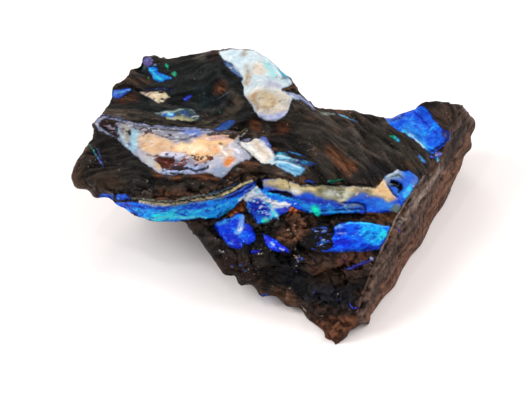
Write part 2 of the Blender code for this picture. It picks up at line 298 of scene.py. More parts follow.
    "peak_violet": (FIRE, (95, 72, 135), 0.2, (
        (142, 62), (144, 57), (147.5, 54), (153, 62), (151, 66.5), (145, 67))),
    "peak_spot": (MILK, (150, 195, 215), 0.2, ((152.5, 63.5), (156, 64.5), (156.5, 67), (153, 66.5))),
    "peak_blue": (FIRE, (20, 105, 205), 0.2, (
        (146.5, 68.5), (150, 66.5), (156, 67.5), (160, 73), (173, 76.5), (171, 79.5), (157, 83.5))),
    "peak_blue_core": (FIRE, (25, 155, 215), 0.0, (
        (151, 72), (156, 73), (160, 77), (165, 79), (160, 81), (156, 79.5))),
    "peak_green": (FIRE, (25, 150, 95), 0.1, (
        (163.5, 64), (166, 61.5), (169.5, 65), (168, 69), (165, 67.5))),
    "peak_green_b": (FIRE, (25, 140, 85), 0.1, (
        (171, 72), (175, 69.5), (176.5, 74), (175, 77.5), (172, 75.5))),
    "peak_green_c": (FIRE, (50, 90, 70), 0.0, ((140, 68), (145.5, 65.5), (147, 68.5), (142, 70.5))),
    "dot_green": (FIRE, (110, 160, 60), 0.0, ((147, 77), (149, 76.5), (149.5, 79.5), (148, 80))),
    "edge_blue": (FIRE, (60, 100, 205), 0.2, (
        (112, 92), (116, 89.5), (128, 87.5), (133, 89.5), (121, 98.5), (115, 98.5), (112, 96))),
    "cream_streak": (MILK, (214, 196, 158), 0.3, (
        (135, 91), (152, 91.5), (163, 90.5), (173, 97.5), (167, 98), (163, 104.5), (157, 103.5),
        (153, 99.5))),
    "cream_streak_peach": (MILK, (232, 196, 165), 0.3, (
        (139, 91.5), (146, 91.5), (152, 93), (150, 96.5), (143, 94.5))),
    "violet_above": (FIRE, (48, 38, 72), 0.1, (
        (139, 90.3), (160, 86.5), (171, 87.5), (177, 91.5), (166, 89.8))),
    "violet_spot": (FIRE, (48, 48, 180), 0.1, (
        (182.5, 98.5), (186, 95.5), (191.5, 94.5), (193.5, 95.5), (188, 101), (184, 101))),
    "lens": (MILK, (50, 72, 74), 0.2, (
        (152.5, 112), (176, 109), (183, 107), (188.5, 107.5), (194.5, 110.5), (199.5, 115), (200.5, 119.5),
        (196, 122), (189, 122), (166, 118.5), (155, 114.5))),
    "lens_blue": (FIRE, (25, 95, 190), 0.2, (
        (162.5, 113), (170, 111), (175, 113), (175.5, 116), (170, 117.5), (165, 116.5))),
    "lens_arc": (FIRE, (35, 60, 130), 0.1, (
        (176, 111), (184, 110), (190.5, 113), (193, 117.5), (180, 113.2))),
    "lens_cream": (MILK, (190, 184, 132), 0.4, (
        (174, 117), (182, 116.5), (196.5, 121), (188, 122), (178, 119.8))),
    "streak_green_left": (FIRE, (70, 170, 130), 0.0, (
        (87, 142.5), (89, 142.5), (99, 158.5), (98, 159.5), (93, 153))),
    "streak_violet_left": (FIRE, (125, 112, 180), 0.0, (
        (94.5, 153.5), (97, 154.5), (104.5, 167.5), (102.5, 168.5))),
    "streak_violet_left_b": (FIRE, (75, 85, 120), 0.0, (
        (91.5, 142), (96, 146), (100, 153), (104.5, 163.5), (103, 163))),
    "dot_green_b": (FIRE, (60, 170, 80), 0.0, ((219, 110.8), (221, 111), (221, 113), (219, 113))),
    # white opal on the high rim and its nodule
    "white": (MILK, (216, 232, 236), 0.7, (
        (216, 53), (222, 50), (236, 47), (246, 47), (256, 50), (273, 59), (290, 77), (294, 84), (285, 89),
        (284, 92), (291, 92), (298, 94), (303, 97), (297, 100), (291, 100), (288, 113), (284, 119),
        (270, 122), (262, 120), (257, 116), (249, 101), (245, 97), (243, 92), (244, 87), (240, 82),
        (243, 79), (231, 64), (225, 61))),
    "white_facet": (MILK, (84, 112, 160), 0.2, (
        (222, 59.5), (235, 66.5), (240, 72.5), (243.5, 79.5), (238, 77.5), (226, 66))),
    "white_cream": (MILK, (232, 220, 204), 0.7, (
        (250, 64), (258, 61.5), (266, 65.5), (269, 71), (262, 75.5), (254, 76), (250, 71))),
    "white_tan": (MILK, (186, 162, 128), 0.6, (
        (244, 68), (248, 65), (251.5, 70), (250.5, 79), (247, 85), (244, 80))),
    "white_tan_top": (MILK, (176, 164, 140), 0.6, ((242, 50), (246, 50), (246, 57), (242, 57))),
    "white_cyan": (MILK, (178, 230, 230), 0.7, (
        (264, 61), (272, 61), (278, 67), (279, 81), (273, 80), (265, 67))),
    "white_teal": (FIRE, (70, 150, 190), 0.6, (
        (277, 68), (281, 66.5), (291, 79), (284, 79.5), (279, 77.5))),
    "white_mauve": (MILK, (205, 205, 222), 0.7, (
        (263, 78), (274, 81), (282, 85), (280, 90), (270, 88), (262, 84))),
    "nodule": (MILK, (226, 214, 196), 1.2, (
        (247, 97), (250, 91), (261, 86), (287, 93), (290, 99), (290, 106), (288, 113), (284, 118),
        (278, 121), (270, 122), (262, 119), (257, 115), (255, 108))),
    # painted shade on the nodule's left side, in a tan tone
    "nodule_left_shade": (MILK, (178, 148, 112), 1.2, (
        (248, 96), (253, 92), (258, 93), (258, 101), (260, 107), (257, 112))),
    "nodule_core": (MILK, (222, 200, 164), 1.2, (
        (257, 92), (263, 90.5), (270, 92), (276, 95), (277, 101), (274, 106), (267, 107), (261, 104),
        (258, 98))),
    "nodule_crease": (MILK, (176, 148, 112), 1.1, (
        (262, 106), (268, 107), (274, 104.5), (273, 107.5), (267, 109.5), (262, 108.5))),
    "nodule_lavender": (MILK, (172, 182, 226), 1.2, (
        (256, 112), (266, 114.5), (276, 114), (285, 110), (287, 114), (284, 118.5), (276, 121), (266, 121),
        (258, 117))),
    # high rim and valley on the right
    "rim_lavender": (MILK, (120, 125, 140), 0.2, (
        (300, 94), (305, 98), (318, 110), (313, 110.5), (299, 98))),
    "rim_grey": (MILK, (108, 112, 98), 0.1, (
        (318, 111), (330, 111.5), (337, 114.5), (330, 117.5), (320, 115.5))),
    "rim_cyan": (MILK, (92, 138, 162), 0.2, (
        (336, 113.6), (344, 114), (361, 123.5), (353, 121.4), (339, 115.6))),
    "rim_green": (FIRE, (20, 160, 90), 0.1, (
        (387, 134.8), (394, 134.5), (398, 137), (396, 140), (391, 137.6))),
    "rim_green_cyan": (FIRE, (40, 170, 200), 0.1, (
        (395, 137), (398.5, 137.5), (400.5, 140), (399, 142.5), (396, 140.5))),
    "rim_dash": (FIRE, (95, 125, 195), 0.1, (
        (416.5, 154.5), (421, 155.5), (425.5, 160), (427.5, 163.5), (423, 162.5), (419, 159))),
    "valley": (FIRE, (24, 100, 240), 0.3, (
        (386, 119), (394, 115), (410, 111), (416, 107), (422, 105), (428, 108), (432, 118), (442, 129),
        (448, 130), (451, 134), (450, 140), (437, 152), (432, 154), (428, 152), (404, 132), (388, 123))),
    "valley_azure": (FIRE, (50, 150, 248), 0.0, (
        (402, 124), (412, 123), (426, 137), (429, 147), (424, 148), (408, 136), (402, 130))),
    "valley_cyan": (FIRE, (90, 205, 245), 0.0, (
        (402, 128), (408, 131), (424, 143), (428, 149), (423, 147), (406, 134))),
    "valley_violet": (FIRE, (46, 40, 130), 0.0, (
        (387, 119.5), (397, 115.5), (406, 113.5), (402, 119.5), (394, 121.5))),
    "valley_violet_b": (FIRE, (44, 42, 120), 0.0, (
        (441, 129), (449, 130), (451, 138), (446, 143), (443, 136))),
    "valley_lilac": (MILK, (130, 125, 200), 0.2, (
        (434, 153.5), (442, 151.5), (443.5, 155), (439, 157), (435, 156.5))),
    "valley_tail": (FIRE, (90, 190, 215), 0.2, (
        (435, 156), (439, 156.5), (441, 160), (438.5, 162.5), (436, 159.5))),
}

# Gaps and holes in the opal, where it is broken away down to dark rock. seam_lip_shade and seam_low_shade
# are painted shade under the seam's lips, over a shallow real recess.
GAPS = {
    "tip_notch": (ROCK, (8, 8, 14), -0.5, ((112.5, 193), (115.5, 193), (116.5, 201.5), (113.5, 201.5))),
    "seam_lip_shade": (ROCK, (8, 7, 6), -0.6, (
        (131, 200), (165, 202.7), (176, 202), (214, 194.9), (226, 190.6), (236, 184), (236, 185.8),
        (228, 190.4), (210, 197.4), (163, 204), (131, 201.6))),
    "seam_split": (ROCK, (6, 6, 10), -1.2, ((255.5, 178), (262, 176), (263, 190), (258, 187), (254, 183))),
    "seam_under": (ROCK, (12, 16, 40), -0.9, (
        (265, 190.4), (286, 190.4), (296.5, 196.4), (288, 196.4), (276, 194.6))),
    "seam_step_crack": (ROCK, (18, 30, 70), -0.3, (
        (341, 202), (362, 202.2), (365.4, 206), (366, 213), (364.8, 212.5), (364.4, 207), (361, 203.2),
        (342, 202.8))),
    "seam_low_shade": (ROCK, (8, 6, 6), -0.8, (
        (322, 217), (335, 213.5), (364, 212.6), (367, 217), (350, 219), (322, 220))),
    "knob_hole": (ROCK, (6, 10, 16), -1.4, (
        (389, 181.4), (393, 180.4), (402.5, 184.6), (403.5, 188), (399.5, 193), (399, 188), (391, 186))),
}

# Thin lines: how they look, colour, height (mm; ink has none), width (px) and route in the photograph.
STROKES = {
    # lines along the shelf
    "shelf_top_white": (MILK, (150, 152, 178), 0.4, 1.8, (
        (95, 124), (98, 119), (104, 117), (150, 126), (170, 127.6), (190, 128), (210, 130))),
    "shelf_top_dark": (INK, (34, 30, 32), 0, 1.3, ((108, 120), (150, 128.6), (184, 131))),
    "shelf_top_dark_b": (INK, (58, 54, 60), 0, 1.2, (
        (132, 128), (158, 134.5), (170, 139), (182, 139.8), (196, 136))),
    "shelf_left_white": (MILK, (150, 156, 178), 0.5, 1.9, (
        (96, 125), (100, 130), (110, 134), (118, 139), (130, 150))),
    "shelf_left_dark": (INK, (40, 26, 24), 0, 1.3, ((104, 129), (119, 137), (126, 143.5))),
    "shelf_cyan_rim": (MILK, (150, 190, 205), 0.5, 1.6, ((118, 128), (122, 138), (128, 147), (134, 152))),
    "shelf_low_white": (MILK, (178, 178, 188), 0.5, 1.3, (
        (138, 152), (149, 164), (157, 170), (165, 173.6), (174, 174.6))),
    "shelf_low_rust": (INK, (120, 62, 38), 0, 1.5, (
        (139, 160), (145, 166), (153, 171.5), (162, 175.6), (172, 177.6), (192, 175.6), (206, 175),
        (218, 178.6))),
    "shelf_peach_line": (INK, (120, 66, 46), 0, 1.2, ((147, 155), (153, 157), (158, 156), (174, 160))),
    "shelf_peach_line_b": (INK, (190, 120, 96), 0, 1.0, (
        (184, 157), (189, 161), (196, 162.6), (204, 161.6), (211, 158))),
    "shelf_dark_line": (ROCK, (26, 24, 30), -0.2, 1.1, (
        (179, 170.5), (188, 168), (196, 171), (204, 169), (208, 167))),
    "shelf_root_a": (ROCK, (84, 72, 58), 0.6, 1.2, (
        (208, 134), (220, 133), (232, 134), (240, 132), (246, 128))),
    "shelf_root_b": (INK, (70, 58, 44), 0, 1.2, ((226, 137), (234, 138.5), (240, 137), (246, 131.5))),
    "shelf_root_c": (MILK, (196, 186, 160), 0.6, 1.1, ((236, 139), (242, 136), (247, 130))),
    # shelf_glint and shelf_glint_b are painted highlights on the shelf
    "shelf_glint": (MILK, (255, 252, 245), 0.6, 1.6, ((221, 146), (223, 151), (226, 154))),
    "shelf_glint_b": (MILK, (245, 245, 255), 0.6, 1.8, ((236, 149), (239, 152))),
    "shelf_dot": (INK, (60, 40, 36), 0, 1.8, ((220.5, 143.6), (222, 144.4))),
    "shelf_crack": (INK, (96, 90, 82), 0, 1.1, ((238, 143), (252, 157), (258, 162))),
    "streak_line": (MILK, (250, 248, 240), 0.9, 1.6, ((248, 144), (264, 160))),
    "streak_line_c": (MILK, (120, 140, 205), 0.6, 1.3, ((262, 139), (268, 145), (273, 152))),
    # the fan
    "fan_white_a": (MILK, (206, 236, 246), 0.6, 1.8, ((270, 161), (288, 163), (300, 167))),
    "fan_white_b": (MILK, (190, 230, 242), 0.6, 1.4, ((276, 155), (286, 157), (297, 161))),
    "fan_white_c": (MILK, (168, 216, 240), 0.6, 1.6, ((275, 164), (286, 169), (297, 177))),
    "fan_dark_line": (INK, (24, 60, 96), 0, 1.2, ((274, 159.6), (284, 160.4), (294, 163), (305, 167))),
    "fan_dark_line_b": (INK, (20, 36, 60), 0, 1.3, ((282, 154), (292, 157), (302, 161), (314, 164.4))),
    "fan_dark_line_c": (INK, (40, 96, 150), 0, 1.1, ((279, 165), (302, 173))),
    "fan_streak_b": (FIRE, (60, 110, 160), 0.2, 1.2, ((288, 151.5), (300, 154.5), (306, 157))),
    # the seam's pale lips, blue streaks and shadow lines
    "lip_low": (MILK, (206, 192, 146), 0.5, 2.6, (
        (140, 201.6), (165, 204.6), (176, 203.6), (190, 200.8), (212, 197.6), (221, 195.4), (246, 183),
        (252, 181))),
    "lip_low_bright": (MILK, (226, 208, 154), 0.6, 3.2, ((224, 194), (246, 182.8), (251, 181.2))),
    "lip_high": (MILK, (150, 152, 128), 0.5, 1.6, (
        (131, 198), (165, 201.4), (176, 200.8), (195, 196), (205, 195.2), (214, 193.4), (226, 189.4),
        (232, 186.4))),
    "lip_high_blue": (FIRE, (50, 80, 110), 0.2, 1.4, ((205, 195), (216, 192), (238, 183))),
    "seam_deep_line": (FIRE, (10, 40, 150), -0.2, 2.2, (
        (216, 201), (234, 195.6), (242, 192), (250, 187), (256, 182))),
    "seam_deep_line_b": (FIRE, (14, 62, 190), 0.0, 1.8, ((120, 204), (140, 207), (160, 208), (205, 204.5))),
    "seam_tip_line": (ROCK, (14, 18, 34), -0.3, 1.2, (
        (98, 198.6), (108, 200.6), (120, 201.4), (132, 200.4))),
    "seam_cyan_line": (FIRE, (60, 190, 255), 0.0, 1.6, (
        (132, 208), (146, 213), (160, 213), (176, 210.6), (190, 211.6), (204, 210.6), (216, 207.6),
        (228, 203))),
    "seam_cyan_line_b": (FIRE, (90, 215, 240), 0.0, 1.8, (
        (150, 219.6), (160, 217), (172, 216), (184, 217.6), (196, 217), (206, 217.6))),
    "seam_bottom_dark": (ROCK, (10, 12, 20), -0.3, 1.3, (
        (190, 220.6), (200, 218.8), (210, 220.6), (220, 218.6), (228, 214.6), (240, 205.6))),
    # cracks and steps on the right
    "lip_crack": (INK, (60, 44, 26), 0, 1.1, ((289, 180), (288.6, 184), (289.6, 188))),
    "lip_olive_line": (INK, (70, 66, 44), 0, 1.3, (
        (300, 186.4), (318, 186.2), (330, 187.4), (344, 186.8))),
    "lip_shadow": (ROCK, (8, 9, 12), -0.4, 1.6, (
        (300, 184.4), (314, 183), (330, 184.6), (345, 185), (360, 184.4), (373, 186.4))),
    "seam_split_line_c": (FIRE, (16, 30, 120), -0.1, 1.4, ((322, 211), (338, 209.8), (363, 209.4))),
    "seam_right_glow": (FIRE, (40, 150, 235), 0.1, 1.8, ((268, 192.6), (292, 198.6), (304, 202.6))),
    "ring_line_b": (MILK, (210, 220, 215), 1.0, 1.2, ((388, 176), (398, 170))),
    "ring_dark": (INK, (30, 50, 60), 0, 1.2, ((392, 176.5), (398, 174.6), (403, 178.5))),
    "hole_glint": (FIRE, (50, 90, 160), -1.0, 1.8, ((396, 186.5), (399.5, 189.5), (398.5, 193.5))),
    "hole_glint_b": (MILK, (150, 170, 170), -0.6, 1.3, ((390, 183.4), (399, 186))),
    # pyramid
    "pyramid_white_left": (MILK, (236, 244, 250), 0.9, 2.4, ((240, 200), (257, 187.4))),
    "pyramid_white_right": (MILK, (250, 250, 252), 0.9, 2.0, ((267, 201), (276, 203.4), (290, 205))),
    "pyramid_streak": (MILK, (150, 215, 235), 0.4, 1.6, ((270, 206), (278, 219))),
    "pyramid_fleck_c": (MILK, (150, 225, 250), 0.9, 1.4, ((256, 189.6), (259.6, 194.6))),
    "pyramid_fleck_d": (FIRE, (60, 200, 250), 0.5, 2.0, ((266, 203), (270, 206.4))),
    "pyramid_dark": (ROCK, (10, 8, 20), -0.3, 1.8, ((243, 203), (244.6, 209), (254, 221))),
    # bright lines on the front faces
    "front_left_edge": (FIRE, (70, 140, 245), 0.5, 1.6, ((216, 223), (224, 220), (234, 217.6), (241, 214))),
    # front_mid_glint and front_mid_glint_b are painted highlights on the blue face
    "front_mid_glint": (MILK, (205, 220, 255), 0.6, 1.5, ((271.6, 243.4), (274, 245))),
    "front_mid_glint_b": (MILK, (190, 205, 255), 0.6, 1.2, ((280, 248.4), (283.6, 250.6))),
    "front_mid_line_b": (FIRE, (70, 60, 235), 0.5, 1.6, ((262, 233), (268, 240), (272, 248))),
    "front_right_line": (MILK, (150, 165, 235), 0.6, 1.2, ((337, 233.4), (345, 233.4))),
    "front_right_edge": (FIRE, (90, 185, 245), 0.5, 1.4, ((345, 222.6), (372, 223.4), (388, 227.4))),
    "front_right_tail": (FIRE, (30, 60, 190), 0.2, 1.6, ((312, 249), (335, 251.4), (372, 250))),
    # side_edge and side_edge_low are painted highlights along the sawn side's edge, as pale stained rock
    "side_edge": (ROCK, (132, 118, 110), 0.3, 1.7, (
        (424, 176), (404, 204.6), (396.6, 217), (385, 243), (380, 252))),
    "side_edge_low": (ROCK, (104, 82, 70), 0.2, 1.5, ((380, 252), (370, 275), (362, 296), (357, 312))),
    # front_glint_a is a painted highlight at the end of the violet streak
    "front_glint_a": (MILK, (210, 215, 235), 0.2, 1.5, ((370.6, 257.6), (372.6, 259.8))),
    "front_glint_b": (FIRE, (110, 70, 200), 0.1, 1.8, ((349, 303), (353, 308), (358, 308))),
    "front_glint_c": (FIRE, (70, 60, 190), 0.1, 1.6, ((262, 294), (267, 294.4))),
    "front_glint_d": (MILK, (190, 160, 130), 0.1, 1.4, ((302, 306), (306, 312))),
    "front_glint_e": (FIRE, (110, 60, 190), 0.1, 1.5, ((397, 228), (400, 232))),
    "front_glint_f": (MILK, (160, 150, 150), 0.1, 1.2, ((219, 250), (221, 252))),
    # lines at the upper left
    "peak_glint": (MILK, (170, 150, 190), 0.3, 1.3, ((150, 57), (153, 61))),
    "peak_line": (FIRE, (60, 190, 225), 0.2, 1.6, ((150, 70.6), (156, 75), (160, 80))),
    "edge_glow": (FIRE, (110, 160, 235), 0.2, 1.6, ((116, 93), (130, 89.6))),
    "cream_line": (MILK, (240, 214, 190), 0.3, 1.3, ((142, 92.6), (150, 93.6), (157, 97))),
    "lens_line": (MILK, (150, 165, 150), 0.3, 1.2, ((155, 113.4), (173, 111), (182, 108.8))),
    "lens_glint": (MILK, (150, 235, 245), 0.3, 1.4, ((168.5, 114), (172, 114))),
    "lens_edge": (MILK, (196, 190, 140), 0.3, 1.5, ((166, 118), (190, 121.4))),
    "bowl_line_c": (MILK, (66, 76, 76), 0.1, 1.0, ((206, 98), (214, 100), (222, 97), (228, 92))),
    # creases in the white opal
    "white_top_edge": (MILK, (150, 140, 130), 0.6, 1.3, ((222, 50), (234, 48.6), (246, 48.4), (254, 50))),
    "white_vein": (INK, (120, 110, 70), 0, 1.3, ((276, 77), (281, 78.6), (285, 78))),
    "white_notch": (ROCK, (96, 66, 48), 0.1, 2.2, ((283, 90), (294, 86.6), (298, 89))),
    "white_glow": (MILK, (226, 244, 246), 0.7, 2.4, ((268, 59), (275, 67), (280, 76))),
    "nodule_rim": (MILK, (206, 214, 240), 1.2, 1.8, (
        (258, 115), (264, 118.4), (272, 120), (281, 118), (287, 111))),
    "ridge_tail": (MILK, (150, 160, 205), 0.3, 2.2, ((288, 93), (296, 96), (304, 100), (312, 106))),
    # lines on the right of the top
    "rim_line": (MILK, (120, 180, 200), 0.2, 1.3, ((337, 113.6), (346, 117), (354, 121))),
    # valley_glint is a painted highlight on the valley's opal
    "valley_glint": (MILK, (225, 245, 250), 0.3, 1.2, ((409, 132), (423, 147.6))),
    "valley_ripple_a": (FIRE, (70, 120, 235), 0.2, 1.4, ((404, 118), (412, 121), (420, 127), (427, 135))),
    "valley_ripple_b": (FIRE, (14, 40, 190), 0.2, 1.6, ((414, 112), (437, 134))),
    "valley_dark": (FIRE, (16, 14, 80), 0.1, 2.0, ((428, 152.6), (436, 149), (444, 143), (450, 135))),
    "valley_low_line": (FIRE, (80, 90, 200), 0.2, 1.5, ((430, 156), (436, 158), (441, 154))),
    "dash_green_line": (FIRE, (14, 100, 58), 0.1, 1.3, ((327, 181.6), (334, 179.6), (344, 180.4))),
}

FRONT_FACE = (
    (216, 246), (250, 252), (290, 256), (340, 256), (372, 254), (362, 290), (330, 306), (296, 300),
    (250, 280), (222, 262))

# Specks scattered inside an outline: how they look, colour, size (mm), how rare (0 to 1) and the outline.
SPECKS = {
    "front_right_specks": (FIRE, (36, 62, 160), (2.0, 1.3, 1.1), 0.24, (
        (308, 230), (322, 226), (333, 228), (331, 238), (334, 247), (324, 250), (308, 250))),
    "front_right_pale": (MILK, (130, 145, 190), (1.4, 1, 0.8), 0.38, (
        (308, 230), (322, 228), (331, 232), (332, 246), (312, 249))),
    "front_pale": (MILK, (176, 150, 128), (1, 0.8, 0.8), 0.6, (
        (280, 226), (300, 222), (306, 232), (304, 258), (288, 260), (282, 244))),
    "front_violet": (FIRE, (46, 38, 118), (1.8, 1.4, 1.2), 0.71, FRONT_FACE),
    "front_white": (MILK, (170, 150, 136), (0.9, 0.9, 0.8), 0.8, FRONT_FACE),
    "cream_holes": (ROCK, (60, 36, 34), (1.6, 1.2, 1.2), 0.22, (
        (135, 91), (157, 90), (173, 97), (163, 104.5), (148, 98))),
    "shelf_top_holes": (ROCK, (104, 74, 62), (1.5, 0.9, 0.9), 0.5, (
        (120, 124), (150, 128), (172, 134), (178, 142), (160, 140), (140, 134), (124, 134))),
    "shelf_red_holes": (ROCK, (142, 80, 66), (1.3, 0.8, 0.8), 0.34, (
        (150, 155), (170, 154), (196, 156), (214, 156), (212, 162), (176, 170), (160, 170))),
    "shelf_low_holes": (ROCK, (46, 34, 40), (2, 0.8, 0.7), 0.42, (
        (160, 168), (186, 164), (208, 166), (206, 174), (166, 174))),
    "left_pale": (MILK, (120, 108, 92), (1.3, 1, 0.8), 0.42, (
        (132, 176), (166, 182), (164, 194), (136, 192))),
    "pyramid_white": (MILK, (240, 246, 252), (1.3, 0.9, 0.8), 0.14, (
        (240, 202), (257, 186), (262, 194), (274, 200), (292, 204), (276, 209), (252, 200))),
    "pyramid_lilac": (MILK, (170, 180, 240), (1.4, 1, 0.9), 0.66, (
        (248, 200), (262, 200), (288, 208), (270, 222), (256, 222), (250, 210))),
    # front_left_white specks are a painted highlight on the front's left blue face
    "front_left_white": (MILK, (228, 240, 255), (1.5, 1, 1), 0.04, (
        (236.5, 231), (241.5, 217), (243, 222), (242, 229), (240, 233))),
    "shelf_end_pale": (MILK, (146, 130, 140), (3, 0.8, 0.8), 0.1, (
        (103, 119.5), (116, 121), (126, 128), (120, 137), (108, 130.5), (101, 124))),
}

# Broad soft colours of the bare rock: colour, how soft the edge is (mm) and the outline.
WASHES = {
    "top_back": ((27, 30, 30), 3.0, (
        (140, 60), (216, 54), (250, 80), (256, 112), (235, 122), (120, 118), (108, 100), (125, 75))),
    "top_bowl": ((14, 25, 27), 2.0, (
        (192, 88), (215, 86), (236, 92), (240, 106), (226, 116), (205, 116), (194, 104))),
    "ledge": ((68, 60, 51), 0.9, (
        (98, 110), (112, 105), (176, 124), (194, 124.5), (214, 118), (230, 106), (238, 94), (242, 102),
        (236, 114), (220, 125), (200, 129), (170, 127.5), (112, 116))),
    "ledge_dark": ((26, 23, 22), 0.5, (
        (112, 110.5), (176, 125.4), (196, 126), (214, 120.6), (228, 111), (216, 123.6), (198, 128),
        (174, 127))),
    "bowl_rim": ((50, 49, 46), 0.8, (
        (150, 100), (196, 112), (214, 108), (226, 98), (232, 86), (234, 92), (230, 104), (216, 114),
        (196, 117.6), (154, 104))),
    "top_left": ((36, 31, 27), 3.0, (
        (75, 165), (92, 140), (115, 138), (152, 172), (180, 178), (225, 182), (210, 192), (150, 196),
        (100, 190), (78, 182))),
    "top_hollow": ((27, 26, 24), 2.5, ((120, 142), (165, 178), (150, 184), (128, 180), (116, 160))),
    "top_left_rust": ((46, 34, 25), 2.0, ((92, 176), (118, 172), (122, 184), (104, 188), (92, 184))),
    "top_mid": ((31, 30, 27), 3.0, (
        (225, 178), (255, 165), (300, 182), (300, 176), (262, 172), (240, 182))),
    "top_right": ((48, 43, 38), 4.0, (
        (262, 124), (292, 102), (318, 112), (390, 120), (430, 155), (436, 168), (415, 182), (390, 172),
        (372, 182), (320, 182), (300, 158), (270, 140))),
    "top_right_dark": ((26, 23, 22), 3.0, ((262, 126), (288, 122), (330, 172), (300, 160), (272, 145))),
    "top_right_dusk": ((30, 28, 30), 2.5, (
        (350, 178), (372, 160), (392, 166), (384, 178), (370, 184), (350, 186))),
    "top_crest": ((66, 58, 52), 2.0, (
        (292, 96), (306, 100), (360, 140), (392, 160), (380, 158), (348, 142), (296, 108))),
    "top_corner": ((60, 47, 40), 3.0, (
        (424, 108), (440, 102), (468, 108), (456, 124), (446, 130), (434, 122))),
    "top_corner_dark": ((14, 12, 12), 1.5, ((408, 106), (424, 99), (442, 100), (438, 106), (414, 108))),
    "rust_back": ((88, 52, 32), 1.2, ((214, 86), (220, 80), (226, 84), (224, 92), (218, 94))),
    "rust_back_left": ((70, 44, 30), 1.5, ((112, 98), (126, 96), (138, 96), (134, 102), (118, 104))),
    "rust_peak": ((60, 44, 34), 1.5, ((122, 80), (140, 76), (152, 80), (146, 86), (128, 87))),
    "rust_gap_a": ((84, 50, 28), 1.2, ((251, 122), (258, 122), (260, 130), (254, 131))),
    "rust_gap_b": ((94, 54, 32), 1.4, ((274, 123), (286, 122), (290, 132), (280, 135))),
    "rust_swirl": ((92, 58, 38), 1.2, (
        (324, 146), (334, 148), (342, 157), (352, 160), (357, 167), (354, 175), (346, 176), (328, 156))),
    "rust_low_left": ((104, 58, 32), 0.9, (
        (150, 169), (171, 177.5), (181, 176), (178, 179), (162, 178), (152, 173))),
    "rust_low_right": ((96, 56, 36), 0.9, ((190, 175), (206, 174.5), (220, 178), (216, 180), (196, 178))),
    "rust_wedge": ((186, 104, 50), 0.6, ((227, 217), (231, 210), (246.5, 202.5), (245, 209), (232, 217))),
    "rust_pyramid": ((186, 98, 58), 0.8, (
        (287, 207), (293, 204.5), (300, 207.5), (302, 211), (295, 213), (289, 211))),
    "rust_under_seam": ((74, 46, 26), 1.0, ((366, 213), (399, 213), (397, 219), (393, 224), (368, 219))),
    "rust_under_seam_left": ((58, 40, 28), 1.0, (
        (302, 216), (320, 219), (340, 216), (364, 216), (352, 221), (305, 222))),
    "front": ((18, 16, 15), 2.5, (
        (184, 222), (215, 222), (250, 226), (300, 216), (330, 222), (395, 222), (366, 280), (357, 314),
        (288, 300), (240, 284))),
    "front_left": ((44, 35, 31), 2.5, (
        (186, 222), (204, 222), (216, 238), (232, 250), (262, 256), (268, 266), (246, 268), (222, 262),
        (200, 240))),
    "front_foot": ((40, 27, 21), 2.0, (
        (214, 256), (238, 262), (266, 280), (262, 290), (240, 284), (222, 270))),
    "front_rough": ((96, 64, 46), 1.6, (
        (276, 234), (286, 226), (300, 220), (312, 220), (310, 230), (298, 240), (284, 244), (276, 240))),
    "front_brown": ((52, 37, 29), 2.2, (
        (300, 252), (350, 254), (374, 252), (368, 268), (356, 280), (340, 286), (318, 284), (304, 270))),
    "front_red": ((76, 46, 33), 1.5, ((334, 256), (372, 252), (370, 262), (352, 266), (338, 264))),
    "front_black": ((13, 13, 17), 1.8, (
        (284, 250), (298, 252), (302, 270), (310, 284), (300, 300), (286, 294), (282, 272))),
    "front_dusk": ((30, 31, 38), 1.8, (
        (304, 292), (322, 286), (344, 290), (356, 300), (350, 306), (306, 304))),
    "front_lip": ((84, 58, 42), 1.2, (
        (270, 286), (284, 286), (306, 312), (296, 308), (284, 298), (272, 292))),
    "tip_dark": ((40, 29, 24), 1.6, (
        (296, 302), (320, 306), (358, 308), (356, 318), (336, 317), (318, 320), (304, 312))),
    "tip": ((96, 60, 41), 1.0, (
        (316, 320), (326, 317), (340, 318), (356, 314), (362, 322), (350, 331), (342, 345), (328, 343),
        (318, 328))),
    "side": ((94, 74, 66), 0.9, (
        (470, 104), (478, 128), (452, 190), (420, 250), (390, 298), (366, 326), (356, 318), (362, 296),
        (404, 207), (438, 170), (452, 132))),
    # painted highlight along the edge between the top and the sawn side
    "side_arris_highlight": ((130, 114, 106), 0.7, ((403, 213), (444, 163), (441, 172), (400, 230), (397, 227))),
    "side_dark": ((50, 45, 42), 1.8, ((464, 118), (470, 128), (456, 156), (448, 168), (444, 156))),
    "side_dark_mid": ((60, 52, 48), 1.8, ((418, 214), (424, 216), (408, 248), (380, 296), (372, 292))),
    "side_red": ((116, 82, 66), 1.6, (
        (474, 130), (468, 152), (440, 210), (400, 284), (370, 322), (362, 320), (436, 196), (464, 140))),
}
WASH_REACH = 40.0  # how far from an outline its depth is worked out (px)

# Soft colours of the sides that the photograph does not show: colour, size of the blotches (mm), shift
# of the noise and the level above which the colour shows.
HIDDEN_WASHES = (
    ((76, 56, 44), (18.0, 18.0, 8.0), 71.0, 0.0),
    ((30, 28, 28), (13.0, 13.0, 6.0), 77.0, 0.10),
    ((92, 60, 42), (9.0, 9.0, 5.0), 83.0, 0.26),
    ((104, 92, 82), (10.0, 10.0, 3.0), 89.0, 0.32),
)

